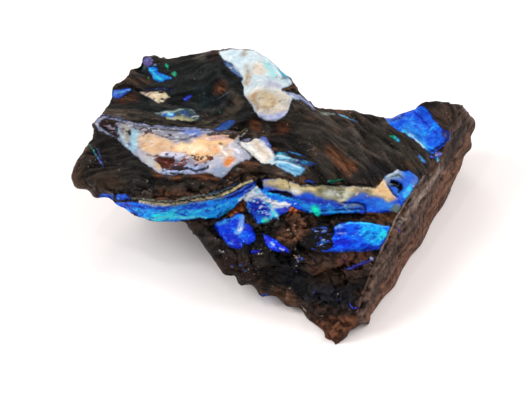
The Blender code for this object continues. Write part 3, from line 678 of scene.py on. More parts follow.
# Places on the outline that stand out (or back) a little more: place in the photograph, radius (px)
# and push (mm).
TRIMS = {
    "peak_shoulder": ((138, 64), 11, -2.3),
    "shelf_end": ((97, 124), 18, 2.6),
    "left_shoulder": ((116, 88), 12, 1.1),
    "left_waist": ((103, 108), 9, 1.2),
    "left_cheek": ((86, 146), 12, 1.1),
    "left_lip": ((106, 203), 16, -2.4),
    "left_low": ((86, 193), 13, -1.5),
    "left_lip_right": ((122, 209), 14, -1.2),
    "crest_left": ((196, 52), 20, -0.4),
    "crest": ((245, 46), 16, -0.6),
    "crest_shoulder": ((262, 50), 14, -0.7),
    "saddle": ((318, 106), 12, -0.7),
    "saddle_right": ((362, 110), 12, -0.7),
    "saddle_dip": ((384, 117), 8, 1.0),
    "corner_rise": ((412, 106), 12, -0.7),
    "corner_top": ((440, 100), 14, -0.4),
    "corner_right": ((472, 122), 19, 1.2),
    "side_top": ((468, 146), 13, 1.5),
    "side_high": ((462, 166), 14, 0.5),
    "side_mid": ((422, 240), 24, 1.3),
    "side_low": ((396, 286), 22, 1.2),
    "side_foot": ((365, 320), 10, 1.8),
    "tip_right": ((350, 331), 7, -1.1),
    "tip_left": ((326, 338), 6, 1.6),
    "front_lip_left": ((231, 281), 12, -2.5),
    "front_lip": ((250, 290), 15, -1.8),
    "front_lip_mid": ((274, 299), 15, -1.5),
    "front_lip_right": ((300, 310), 13, -1.5),
    "foot_left": ((184, 224), 8, -0.7),
}

# Stretches of the outline that broke smoothly, where the relief is weaker: lines in the photograph.
SMOOTH_EDGES = (
    ((206, 248), (222, 268), (246, 287), (274, 301), (300, 312)),
    ((72, 180), (84, 192), (104, 202), (124, 210)),
)
SMOOTH_EDGE_WIDTH = 18  # px
SMOOTH_EDGE_SOFT = 8  # px
SMOOTH_EDGE_SHARE = 0.7  # the share of the relief that is gone along the line

# ------------------------------------------------------------------- the mesh
COARSE_VOXEL = 0.72
SMOOTHING = 0.5  # how far one round of smoothing moves each point towards its neighbours
COARSE_ROUNDS = 14
FINE_ROUNDS = 2
FINE_MARGIN = 1.5  # the mesh is finer on the opal and this far around it
NORMAL_SPREAD = 10  # rounds of averaging for the steady normals
CREST_SPREAD = 6  # and for what the crests are measured against
CORNER_CUTS = 2
CORNER_SHARE = 0.25
TINY = 1e-12


def settled(name, mesh_object, *modifiers):
    """Return a new mesh object in place of the given one, with these modifiers applied."""
    for kind, settings in modifiers:
        modifier = mesh_object.modifiers.new(kind, kind)
        for key, value in settings.items():
            setattr(modifier, key, value)
    graph = bpy.context.evaluated_depsgraph_get()
    mesh = bpy.data.meshes.new_from_object(mesh_object.evaluated_get(graph))
    bpy.data.objects.remove(mesh_object)
    return add_object(name, mesh)


def positions(mesh):
    """Return a mesh's points as an array, in mm."""
    flat = np.empty(len(mesh.vertices) * 3)
    mesh.vertices.foreach_get("co", flat)
    return flat.reshape(-1, 3) / MM


def move_to(mesh, points):
    """Move a mesh's points to these places, in mm."""
    mesh.vertices.foreach_set("co", (points * MM).ravel())
    mesh.update()


def normals(mesh):
    """Return the unit normals at a mesh's points."""
    flat = np.empty(len(mesh.vertices) * 3)
    mesh.vertex_normals.foreach_get("vector", flat)
    return flat.reshape(-1, 3)


def spread(mesh, values, times):
    """Return values (one row a point) averaged with their neighbours' a number of times."""
    size = len(mesh.vertices)
    ends = np.empty(len(mesh.edges) * 2, int)
    mesh.edges.foreach_get("vertices", ends)
    first, second = ends.reshape(-1, 2).T
    count = np.bincount(ends, minlength=size)[:, None]
    for _ in range(times):
        totals = [
            np.bincount(first, column[second], size) + np.bincount(second, column[first], size)
            for column in values.T
        ]
        values = (values + np.stack(totals, axis=1) / count) / 2
    return values


def steady_normals(mesh):
    """Return normals averaged over a few mm, and how flat (1) or sharp (below 1) the stone is there."""
    facing = spread(mesh, normals(mesh), NORMAL_SPREAD)
    flatness = np.linalg.norm(facing, axis=1)
    return facing / flatness[:, None], flatness


def refine(mesh, wanted):
    """Split the faces that touch the wanted points in four."""
    work = bmesh.new()
    work.from_mesh(mesh)
    edges = [edge for edge in work.edges if all(wanted[corner.index] for corner in edge.verts)]
    bmesh.ops.subdivide_edges(work, edges=edges, cuts=1, use_grid_fill=True)
    bmesh.ops.triangulate(work, faces=[face for face in work.faces if len(face.verts) > 4])
    work.to_mesh(mesh)
    work.free()


def store(mesh, name, values):
    """Keep one number, or one colour or place, for each point of a mesh."""
    kind, field = ("FLOAT", "value") if values.ndim == 1 else ("FLOAT_VECTOR", "vector")
    attribute = mesh.attributes.new(name, kind, "POINT")
    attribute.data.foreach_set(field, values.astype(np.float32).ravel())


# ------------------------------------------------------- shapes in the photograph
def rounded(outline):
    """Return an outline with its corners cut, so that it runs in curves."""
    points = np.array(outline, float)
    for _ in range(CORNER_CUTS):
        after = np.roll(points, -1, axis=0)
        early = (1 - CORNER_SHARE) * points + CORNER_SHARE * after
        late = CORNER_SHARE * points + (1 - CORNER_SHARE) * after
        points = np.stack([early, late], axis=1).reshape(-1, 2)
    return points


def near_shape(points, shape, reach):
    """Return the indices of the 2-D points that lie within reach of a shape's box."""
    inside = (points > shape.min(axis=0) - reach) & (points < shape.max(axis=0) + reach)
    return np.flatnonzero(inside.all(axis=1))


def depth_inside(points, outline, reach):
    """Return how far inside an outline each 2-D point lies: negative outside, -reach far from it."""
    outline = rounded(outline)
    depth = np.full(len(points), -reach)
    near = near_shape(points, outline, reach)
    px, py = points[near].T
    closest = np.full(len(near), reach * reach)
    inside = np.zeros(len(near), bool)
    for (ax, ay), (bx, by) in zip(outline, np.roll(outline, -1, axis=0)):
        dx, dy = bx - ax, by - ay
        along = np.clip(((px - ax) * dx + (py - ay) * dy) / (dx * dx + dy * dy + TINY), 0, 1)
        closest = np.minimum(closest, (px - ax - along * dx) ** 2 + (py - ay - along * dy) ** 2)
        crosses = (ay > py) != (by > py)
        inside ^= crosses & (px < ax + (py - ay) * dx / (dy or TINY))
    depth[near] = np.where(inside, 1, -1) * np.sqrt(closest)
    return depth


def stroke_depth(points, line, width, reach):
    """Return how far inside a line of some width each 2-D point lies: negative outside it."""
    line = np.array(line, float)
    depth = np.full(len(points), -reach)
    near = near_shape(points, line, reach)
    closest = np.full(len(near), reach)
    for start, end in zip(line, line[1:]):
        run = end - start
        along = np.clip((points[near] - start) @ run / (run @ run), 0, 1)
        away = points[near] - start - along[:, None] * run
        closest = np.minimum(closest, np.linalg.norm(away, axis=1))
    depth[near] = width / 2 - closest
    return depth


DEPTH_CELL = 4  # px
HIDDEN_BEHIND = 4.5


def in_sight(points):
    """Return True for the points that the camera sees, and the points' places in the photograph.

    The photograph is cut into small cells, and a point counts as hidden when it lies well behind
    the point of its cell that is nearest to the camera.
    """
    pixels, distance = to_photo(points)
    last = np.array(PHOTO_SIZE) // DEPTH_CELL
    cells = np.clip(np.floor(pixels / DEPTH_CELL).astype(int), 0, last)
    key = cells[:, 1] * (last[0] + 1) + cells[:, 0]
    front = np.full(key.max() + 1, np.inf)
    np.minimum.at(front, key, distance)
    return distance < front[key] + HIDDEN_BEHIND, pixels


def nearest_seen(points, seen):
    """Return each point's nearest point that the camera sees, and how far off that is."""
    nearest = np.arange(len(points))
    gap = np.zeros(len(points))
    tree = kdtree.KDTree(int(seen.sum()))
    for index in np.flatnonzero(seen).tolist():
        tree.insert(points[index].tolist(), index)
    tree.balance()
    for index in np.flatnonzero(~seen).tolist():
        _, nearest[index], gap[index] = tree.find(points[index].tolist())
    return nearest, gap


# ---------------------------------------------------------------------- noise
CHIP_SCATTER = 7.3  # keeps the leans of neighbouring chips unlike each other
COBBLE_EDGE = 0.4
BED_SCATTER = (12.9898, 43758.5453)  # large uneven factors, which scatter the beds' own numbers
BED_WAVE = 0.35  # how far the beds rise and fall, as a share of their pitch
BED_WAVE_CELL = 9.0
BED_EDGE = 0.72  # where in each bed the step to the next one begins


def smoothstep(values, low, high):
    """Return 0 below low, 1 above high, and a soft climb between them."""
    t = np.clip((values - low) / (high - low), 0, 1)
    return t * t * (3 - 2 * t)


def cloud(points, size, octaves=3, shift=0.0):
    """Return fractal noise, about -1 to 1, at points whose cells are size mm (one number or three)."""
    cells = points / np.array(size) + shift
    return np.array([noise.fractal(cell, 1.0, 2.0, octaves) for cell in cells.tolist()])


def ridges(points, size, octaves=3, shift=0.0):
    """Return noise with sharp crests, about 0 to 1."""
    return 1 - np.abs(cloud(points, size, octaves, shift))


def warped(points, size, amount, shift=0.0):
    """Return points moved about by slow noise, so that a pattern on them bends and swirls."""
    cells = (points / size + shift).tolist()
    return points + amount * np.array([noise.noise_vector(cell) for cell in cells])


def chips(points, size, shift=0.0):
    """Return the heights of flat broken facets: each cell tilts its own way."""
    cells = (points / np.array(size) + shift).tolist()
    heights = np.empty(len(cells))
    for index, cell in enumerate(cells):
        centre = noise.voronoi(cell)[1][0]
        lean = noise.noise_vector(centre * CHIP_SCATTER)
        heights[index] = lean.dot(Vector(cell) - centre)
    return heights


def cobbles(points, size, shift=0.0):
    """Return rounded lumps, 0 in the cracks between them and 1 on top."""
    cells = (points / size + shift).tolist()
    borders = np.array([near[1] - near[0] for near in (noise.voronoi(cell)[0] for cell in cells)])
    return smoothstep(borders, 0.0, COBBLE_EDGE)


def bed_share(layer, shift):
    """Return a number from 0 to 1 for each layer, different from one layer to the next."""
    step, scale = BED_SCATTER
    return np.sin(layer * step + shift) * scale % 1.0


def ledges(points, pitch, shift):
    """Return the stepped edge of beds: each bed stands out by its own amount."""
    bed = across_beds(points) / pitch + BED_WAVE * cloud(points, BED_WAVE_CELL, octaves=2, shift=shift)
    layer = np.floor(bed)
    here = bed_share(layer, shift)
    above = bed_share(layer + 1, shift)
    return here + (above - here) * smoothstep(bed - layer, BED_EDGE, 1.0) - 0.5


# --------------------------------------------------------------------- relief
BED_TILT = (0.0, -0.27, 0.96)  # the direction across the rock's beds
TOP_FACING = (0.55, 0.85)  # a face that looks this far along it belongs to the top
TOP_FRONT = (-8.5, -6.5)  # and the top begins here, behind the front edge
RIGHT_NORMAL = (0.86, -0.48, 0.10)
RIGHT_FACING = (0.80, 0.93)
RIGHT_START = (15, 24)
RIGHT_BEARING = math.radians(60.8)  # which way the sawn right side runs
FLOW_BEND_START = 4.0
FLOW_BEND_WIDTH = 7.0
FLOW_BEND_SLOPE = 0.78

# How far each kind of relief stands out (mm) on the top, on the sawn right side and on the broken sides.
RELIEF = {
    "swirls": (1.9, 0, 0),
    "wrinkles": (1.0, 0, 0),
    "lumps": (0.45, 0.3, 0.5),
    "grain": (0.06, 0.04, 0.08),
    "saw_streaks": (0, 0.45, 0),
    "steps": (0, 0, 0.7),
    "thin_steps": (0, 0, 0.42),
    "facets": (0, 0.6, 3.2),
    "small_facets": (0, 0.9, 1.6),
    "cracks": (0, 0, -0.7),
    "stones": (0, 0, 0.5),
    "small_stones": (0, 0, 0.25),
    "level": (-2.282, 0, -0.4),
}


def across_beds(points):
    """Return the points' places in the direction across the beds."""
    return points @ np.array(BED_TILT)


def side_weights(points, facing):
    """Return how far each point belongs to the top, to the sawn right side and to the broken sides."""
    right_side = smoothstep(facing @ np.array(RIGHT_NORMAL), *RIGHT_FACING)
    right_side *= smoothstep(points[:, 0], *RIGHT_START)
    top = smoothstep(across_beds(facing), *TOP_FACING) * (1 - right_side)
    top *= smoothstep(points[:, 1], *TOP_FRONT)
    return top, right_side, 1 - top - right_side


def flow_places(points):
    """Return places along and across the flow lines of the top, which bend to the front on the right."""
    beyond = np.logaddexp(0, (points[:, 0] - FLOW_BEND_START) / FLOW_BEND_WIDTH)
    bend = FLOW_BEND_SLOPE * FLOW_BEND_WIDTH * beyond
    straight = np.stack([points[:, 0], points[:, 1] + bend, across_beds(points)], axis=1)
    swirled = warped(straight, size=20.0, amount=5.0, shift=3.1)
    return warped(swirled, size=8.0, amount=1.6, shift=7.7)


def streak_places(points):
    """Return places along and across the opal's streaks, which run along the beds from left to right."""
    straight = np.stack([points[:, 0], points[:, 1], across_beds(points)], axis=1)
    return warped(straight, size=14.0, amount=3.0, shift=6.1)


def side_places(points):
    """Return places along, out of and up the sawn right side."""
    along = np.array((math.cos(RIGHT_BEARING), math.sin(RIGHT_BEARING), 0))
    out = np.array((math.sin(RIGHT_BEARING), -math.cos(RIGHT_BEARING), 0))
    return np.stack([points @ along, points @ out, points[:, 2]], axis=1)


def relief_kinds(points):
    """Return every kind of relief at each point, before its share."""
    flow = flow_places(points)
    wide = warped(points, size=12.0, amount=2.0, shift=1.0)
    narrow = warped(points, size=8.0, amount=2.0, shift=7.0)
    rounds = warped(points, size=6.0, amount=2.2, shift=6.0)
    small_rounds = warped(points, size=3.0, amount=1.0, shift=2.0)
    flats = warped(points, size=6.0, amount=1.5, shift=4.0)
    small_flats = warped(points, size=2.0, amount=0.5, shift=5.0)
    splits = warped(points, size=4.0, amount=1.5, shift=8.0)
    return {
        "swirls": ridges(flow, size=(18.0, 4.6, 14.0), octaves=2),
        "wrinkles": ridges(flow, size=(9.0, 1.9, 6.0), octaves=2, shift=5.0),
        "lumps": cloud(points, size=9.0, shift=9.0),
        "grain": cloud(points, size=1.5, octaves=2, shift=8.0),
        "saw_streaks": cloud(side_places(points), size=(14.0, 2.0, 2.2), shift=8.0),
        "steps": ledges(wide, pitch=3.4, shift=2.0),
        "thin_steps": ledges(narrow, pitch=1.5, shift=6.0),
        "facets": chips(flats, size=(8.0, 8.0, 5.0), shift=2.0),
        "small_facets": chips(small_flats, size=(3.0, 3.0, 2.2), shift=6.0),
        "cracks": smoothstep(ridges(splits, size=(9.0, 9.0, 5.0), octaves=1, shift=4.0), 0.93, 1.0),
        "stones": cobbles(rounds, size=5.5, shift=3.0),
        "small_stones": cobbles(small_rounds, size=2.6, shift=5.0),
        "level": np.ones(len(points)),
    }


def rock_relief(points, facing):
    """Return how far the bare rock stands out at each point."""
    weights = np.stack(side_weights(points, facing), axis=1)
    relief = np.zeros(len(points))
    for name, heights in relief_kinds(points).items():
        relief += heights * (weights @ np.array(RELIEF[name]))
    return relief


def trim(pixels):
    """Return how far the outline's trims push each point out."""
    push = np.zeros(len(pixels))
    for centre, radius, amount in TRIMS.values():
        distance = np.linalg.norm(pixels - centre, axis=1)
        push += amount * smoothstep(-distance, -radius, 0)
    return push


def calmed(pixels):
    """Return the share of the relief that is left at each point: all of it, away from the smooth edges."""
    share = np.ones(len(pixels))
    for line in SMOOTH_EDGES:
        depth = stroke_depth(pixels, line, SMOOTH_EDGE_WIDTH, 3 * SMOOTH_EDGE_SOFT)
        near = smoothstep(depth, -SMOOTH_EDGE_SOFT, SMOOTH_EDGE_SOFT)
        share = np.minimum(share, 1 - SMOOTH_EDGE_SHARE * near)
    return share


# ------------------------------------------------------------ opal on the stone
REACH = 14.0  # how far from a shape its depth is worked out (px)
NO_OPAL = -REACH * PIXEL_MM
NO_MILK = -1.0
FIRST_TINT = 0.1  # the grey under the first patch, in linear light
EDGE_SOFT = {FIRE: 0.7, MILK: 1.0, ROCK: 0.25, INK: 0.3}  # half the width of an edge
RISE = (-0.1, 0.5)  # a patch climbs to its height between these depths
INK_SHARE = 0.85  # how much of its own colour ink gives
WOBBLE = 1.3  # how far the noise moves an outline (px)
WOBBLE_CELL = 2.2
WOBBLE_SHIFTS = (11.0, 17.0)
STROKE_WOBBLE = 0.6  # a line's share of that
DRIFT = 0.7  # how far the noise moves the edge of a patch's colour
DRIFT_CELL = (3.2, 2.4, 2.4)
SPECK_SLOPE = 1.6  # how fast a speck's depth grows with the noise
SPECK_HEIGHT = 0.1
SPECK_SHIFT = 33.0
CLUSTER_CELL = 6.0
CLUSTER_SHARE = 0.7
LINE_SPREAD = 0.06  # how much wider than its pixels a line is, on each side
LINE_SOFT = 0.28
LINE_CELL = 1.5
LINE_THINNING = 0.3  # how much the noise takes off a line, on each side
LINE_SWELLING = -0.2  # the lowest the noise goes, where the line is widest

# How far opal and the rock's colours run on over an edge that the camera cannot see past.
WRAP = {FIRE: 3.0, MILK: 7.0}
WRAP_SPREAD = 1.2  # how much wider the opal grows behind the edge
WRAP_NOISE = 0.8  # how uneven that distance is, as a share of it
STAIN_WRAP = 3.0
ROCK_WRAP = 9.0

# The seam on the hidden sides: how it looks, its colour, its level across the beds and its share of
# the seam's thickness. The specks beside it: how they look, their colour and how rare they are.
HIDDEN_SEAM = (
    (MILK, (176, 164, 132), 26.6, 0.55),
    (FIRE, (22, 96, 215), 25.2, 0.95),
    (FIRE, (20, 170, 215), 24.9, 0.35),
)
HIDDEN_SPECKS = (
    (MILK, (96, 108, 120), 0.66),
    (FIRE, (30, 84, 200), 0.66),
)
HIDDEN_FROM = 0.336  # the seam and its specks begin this far from what the camera sees
SEAM_WAVE = 1.6
SEAM_THICKNESS = 0.5
SEAM_SWELLING = 1.9
SEAM_HEIGHT = 0.2
HIDDEN_SPECK_HEIGHT = 0.15
HIDDEN_SPECK_SLOPE = 5.0
FAR_SPECKS = 0.55  # the share of the specks' noise that is left far from the seam
SPECK_BELT = (3, 16)  # the specks thin out between these distances from the seam

SIDE_COLOURS = ((38, 32, 28), (94, 74, 66), (46, 33, 26))  # the top, the sawn side, the broken sides
HIDDEN_WASH_SOFT = 0.3
WASH_WOBBLE = 1.2


def linear(colour):
    """Return an 8-bit sRGB colour as linear light."""
    value = np.array(colour) / 255
    return np.where(value <= 0.04045, value / 12.92, ((value + 0.055) / 1.055) ** 2.4)


def over(under, share, colour):
    """Return colours with another colour laid over a share of each."""
    return under + share[:, None] * (colour - under)


class Opal:
    """What the patches, specks and lines give each point of the stone."""

    def __init__(self, points):
        count = len(points)
        self.points = points
        self.seen, self.pixels = in_sight(points)
        self.nearest, self.gap = nearest_seen(points, self.seen)
        wobbles = [cloud(points, WOBBLE_CELL, octaves=2, shift=shift) for shift in WOBBLE_SHIFTS]
        self.wobble = WOBBLE * np.stack(wobbles, axis=1)
        self.drift = DRIFT * cloud(points, DRIFT_CELL, octaves=2, shift=21.0)
        self.depth = np.full(count, NO_OPAL)  # how far inside the opal a point lies, below 0 on bare rock
        self.milk = np.full(count, NO_MILK)  # how far inside its milky part, below 0 in precious opal
        self.height = np.zeros(count)
        self.tint = np.full((count, 3), FIRST_TINT)
        self.stain = np.zeros((count, 3))
        self.stained = np.zeros(count)
        self.lay_patches()
        self.lay_specks()
        self.lay_strokes()
        self.carry_over()
        self.add_hidden_seam()
        self.add_hidden_specks()

    def lay_patches(self):
        """Lay the patches and the gaps in them."""
        for kind, colour, height, outline in (*PATCHES.values(), *GAPS.values()):
            depth = depth_inside(self.pixels + self.wobble, outline, REACH) * PIXEL_MM
            self.lay(kind, colour, height, depth)

    def lay_specks(self):
        """Scatter specks inside their outlines, some of them in clusters."""
        clusters = cloud(self.points, CLUSTER_CELL, octaves=2, shift=47.0)
        for kind, colour, size, level, outline in SPECKS.values():
            depth = depth_inside(self.pixels + self.wobble, outline, REACH) * PIXEL_MM
            specks = cloud(self.points, size, octaves=2, shift=SPECK_SHIFT + 10 * level)
            specks += CLUSTER_SHARE * clusters
            depth = np.minimum(depth, SPECK_SLOPE * (specks - level))
            self.lay(kind, colour, SPECK_HEIGHT, depth, LINE_SOFT)

    def lay_strokes(self):
        """Lay the thin lines, which swell and thin out along their way."""
        uneven = cloud(self.points, LINE_CELL, octaves=2, shift=27.0)
        thinning = LINE_THINNING * np.maximum(uneven, LINE_SWELLING)
        pixels = self.pixels + STROKE_WOBBLE * self.wobble
        for kind, colour, height, width, line in STROKES.values():
            depth = stroke_depth(pixels, line, width, REACH) * PIXEL_MM
            self.lay(kind, colour, height, depth + LINE_SPREAD - thinning, LINE_SOFT)

    def carry_over(self):
        """Carry the opal on over the edges that the camera cannot see past."""
        near = self.nearest
        hidden = self.gap > 0
        wrap = np.where(self.milk[near] > 0, WRAP[MILK], WRAP[FIRE])
        wrap = wrap * (1 + WRAP_NOISE * cloud(self.points, size=7.0, shift=41.0))
        carried = np.minimum(self.depth[near] + WRAP_SPREAD, wrap - self.gap)
        self.depth = np.where(hidden, carried, self.depth)
        self.milk = self.milk[near]
        self.tint = self.tint[near]
        self.stain = self.stain[near]
        self.stained = self.stained[near] * smoothstep(-self.gap, -STAIN_WRAP, 0)
        self.height = np.where(hidden, self.height[near] * smoothstep(self.depth, *RISE), self.height)

    def add_hidden_seam(self):
        """Let the seam come out again round the hidden sides, as a thin line with breaks."""
        self.seam_level = across_beds(self.points) + SEAM_WAVE * cloud(self.points, size=16.0, shift=51.0)
        swelling = cloud(self.points, size=(20.0, 20.0, 60.0), octaves=2, shift=57.0)
        thickness = SEAM_THICKNESS + SEAM_SWELLING * swelling
        for kind, colour, level, share in HIDDEN_SEAM:
            depth = thickness * share - np.abs(self.seam_level - level)
            self.lay(kind, colour, SEAM_HEIGHT, np.where(self.gap > HIDDEN_FROM, depth, -REACH))

    def add_hidden_specks(self):
        """Scatter a few specks beside the hidden seam."""
        specks = cloud(self.points, size=(7.0, 7.0, 3.4), shift=63.0)
        from_seam = smoothstep(np.abs(self.seam_level - HIDDEN_SEAM[0][2]), *SPECK_BELT)
        specks = specks * (1 - (1 - FAR_SPECKS) * from_seam)
        for kind, colour, level in HIDDEN_SPECKS:
            depth = HIDDEN_SPECK_SLOPE * (specks - level)
            self.lay(kind, colour, HIDDEN_SPECK_HEIGHT, np.where(self.gap > HIDDEN_FROM, depth, -REACH))

    def lay(self, kind, colour, height, depth, soft=None):
        """Lay one patch over those before it: where its softness is given, its edge does not drift."""
        colour = linear(colour)
        drift = 0 if soft else self.drift
        soft = soft or EDGE_SOFT[kind]
        cover = smoothstep(depth + drift, -soft, soft)
        rise = smoothstep(depth, *RISE)
        if kind == INK:
            self.tint = over(self.tint, INK_SHARE * cover, colour)
        elif kind == ROCK:
            self.lay_rock(colour, height, depth, cover, rise)
        else:
            self.lay_opal(kind, colour, height, depth, cover, rise)

    def lay_rock(self, colour, height, depth, cover, rise):
        """Break the opal away down to bare rock, stained with a colour."""
        self.depth = np.minimum(self.depth, -depth)
        self.stain = over(self.stain, cover, colour)
        self.stained = np.maximum(self.stained, cover)
        self.height += rise * (height - np.maximum(self.height, 0))

    def lay_opal(self, kind, colour, height, depth, cover, rise):
        """Cover the stone with opal: the rock round a patch takes its tint, ready for a ragged edge."""
        nearest = (depth > self.depth) & (self.depth < 0)
        self.tint = over(self.tint, cover, colour)
        self.tint[nearest] = colour
        self.stained *= 1 - cover
        if kind == MILK:
            self.milk = np.maximum(self.milk, depth)
        else:
            self.milk = np.minimum(self.milk, -depth)
        self.depth = np.maximum(self.depth, depth)
        if height:
            self.height += rise * (height - self.height)


def rock_colour(points, opal, weights):
    """Return the bare rock's colour at each point: its side's own colour under the washes."""
    own_colours = sum(weight[:, None] * linear(own) for weight, own in zip(weights, SIDE_COLOURS))
    for own, size, shift, level in HIDDEN_WASHES:
        share = smoothstep(cloud(points, size, shift=shift), level, level + HIDDEN_WASH_SOFT)
        own_colours = over(own_colours, share, linear(own))
    colours = own_colours
    wobble = WASH_WOBBLE * cloud(points, size=5.0, shift=31.0)
    for own, soft, outline in WASHES.values():
        depth = depth_inside(opal.pixels, outline, WASH_REACH) * PIXEL_MM + wobble
        colours = over(colours, smoothstep(depth, -soft, soft), linear(own))
    carried = smoothstep(-opal.gap, -ROCK_WRAP, 0)
    return over(own_colours, carried, colours[opal.nearest])


# ------------------------------------------------------------------ the stone
SHARP_RELIEF = 0.2  # the share of the relief that is left on sharp edges
SHARP_LIMITS = (0.88, 0.99)
OUTLINE_RELIEF = 0.2  # and where the stone turns away from the camera
OUTLINE_LIMITS = (0.05, 0.50)
OPAL_RELIEF = 0.25  # and on the opal
OPAL_LIMITS = (-0.3, 0.6)


def part_left(values, limits, left):
    """Return a share that climbs from left to 1 as values pass between two limits."""
    return left + (1 - left) * smoothstep(values, *limits)


def copy_of_node():
    """Return a copy of the CAD lump."""
    return add_object("copy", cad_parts[NODE].data.copy())


def raise_relief(mesh):
    """Move a mesh's points out by their relief, their opal's height and the trims. Return the relief."""
    points = positions(mesh)
    facing, flatness = steady_normals(mesh)
    opal = Opal(points)
    relief = rock_relief(points, facing)
    relief *= part_left(flatness, SHARP_LIMITS, SHARP_RELIEF)
    relief *= part_left(np.abs(facing @ np.array(BACK)), OUTLINE_LIMITS, OUTLINE_RELIEF)
    relief *= calmed(opal.pixels)
    bare = 1 - (1 - OPAL_RELIEF) * smoothstep(opal.depth, *OPAL_LIMITS)
    points += facing * (relief * bare + opal.height + trim(opal.pixels))[:, None]
    points[:, 2] = np.maximum(points[:, 2], 0)
    move_to(mesh, points)
    return relief


def store_looks(mesh, relief):
    """Store what the material reads at each point."""
    points = positions(mesh)
    opal = Opal(points)
    weights = side_weights(points, normals(mesh))
    looks = {
        "opal": opal.depth,
        "milk": opal.milk,
        "tint": opal.tint,
        "stain": opal.stain,
        "stained": opal.stained,
        "rock": rock_colour(points, opal, weights),
        "top": weights[0],
        "right_side": weights[1],
        # rise and crest carry the relief that the material turns into painted shade in the hollows and
        # painted highlights on the crests
        "rise": relief,
        "crest": relief - spread(mesh, relief[:, None], CREST_SPREAD)[:, 0],
        "flow": flow_places(points),
        "streaks": streak_places(points),
    }
    for name, values in looks.items():
        store(mesh, name, values)


def build_stone():
    """Return the stone: the CAD lump with its relief, its opal raised and its colours stored."""
    remesh = ("REMESH", {"mode": "VOXEL", "voxel_size": COARSE_VOXEL * MM})
    coarse_smooth = ("SMOOTH", {"factor": SMOOTHING, "iterations": COARSE_ROUNDS})
    fine_smooth = ("SMOOTH", {"factor": SMOOTHING, "iterations": FINE_ROUNDS})
    rough = settled("rough", copy_of_node(), remesh, coarse_smooth)
    opal = Opal(positions(rough.data))
    refine(rough.data, (opal.depth > -FINE_MARGIN) & opal.seen)
    made = settled("opal_boulder_stone", rough, fine_smooth)
    relief = raise_relief(made.data)
    store_looks(made.data, relief)
    for polygon in made.data.polygons:
        polygon.use_smooth = True
    return made


# ------------------------------------------------------------------ materials
# Filters multiply a colour's red, green and blue.
RUST_FILTER = (1.55, 1.12, 0.86)
SOOT_FILTER = (0.55, 0.62, 0.70)
THREAD_FILTER = (2.6, 2.4, 2.3)
DEEP_BLUE_FILTER = (0.16, 0.24, 0.55)
CYAN_FILTER = (0.35, 1.6, 1.08)
FIRE_RIM_FILTER = (0.12, 0.16, 0.4)
CURDLE_FILTER = (0.76, 0.82, 0.90)
BROWN_STAIN_FILTER = (0.86, 0.78, 0.70)
BROWN_SPECK_FILTER = (0.48, 0.30, 0.22)
MILK_RIM_FILTER = (0.22, 0.27, 0.38)
TINT_SCALE = 0.8
# the colour of the glints painted on the rock
PAINTED_GLINT = (176, 160, 146)
CYAN_FLAKE = (40, 200, 250)
SPARK = (90, 222, 255)
CURD_WHITE = (240, 240, 242)


def shader_colour(colour):
    """Return an 8-bit sRGB colour for a socket."""
    return (*linear(colour), 1.0)


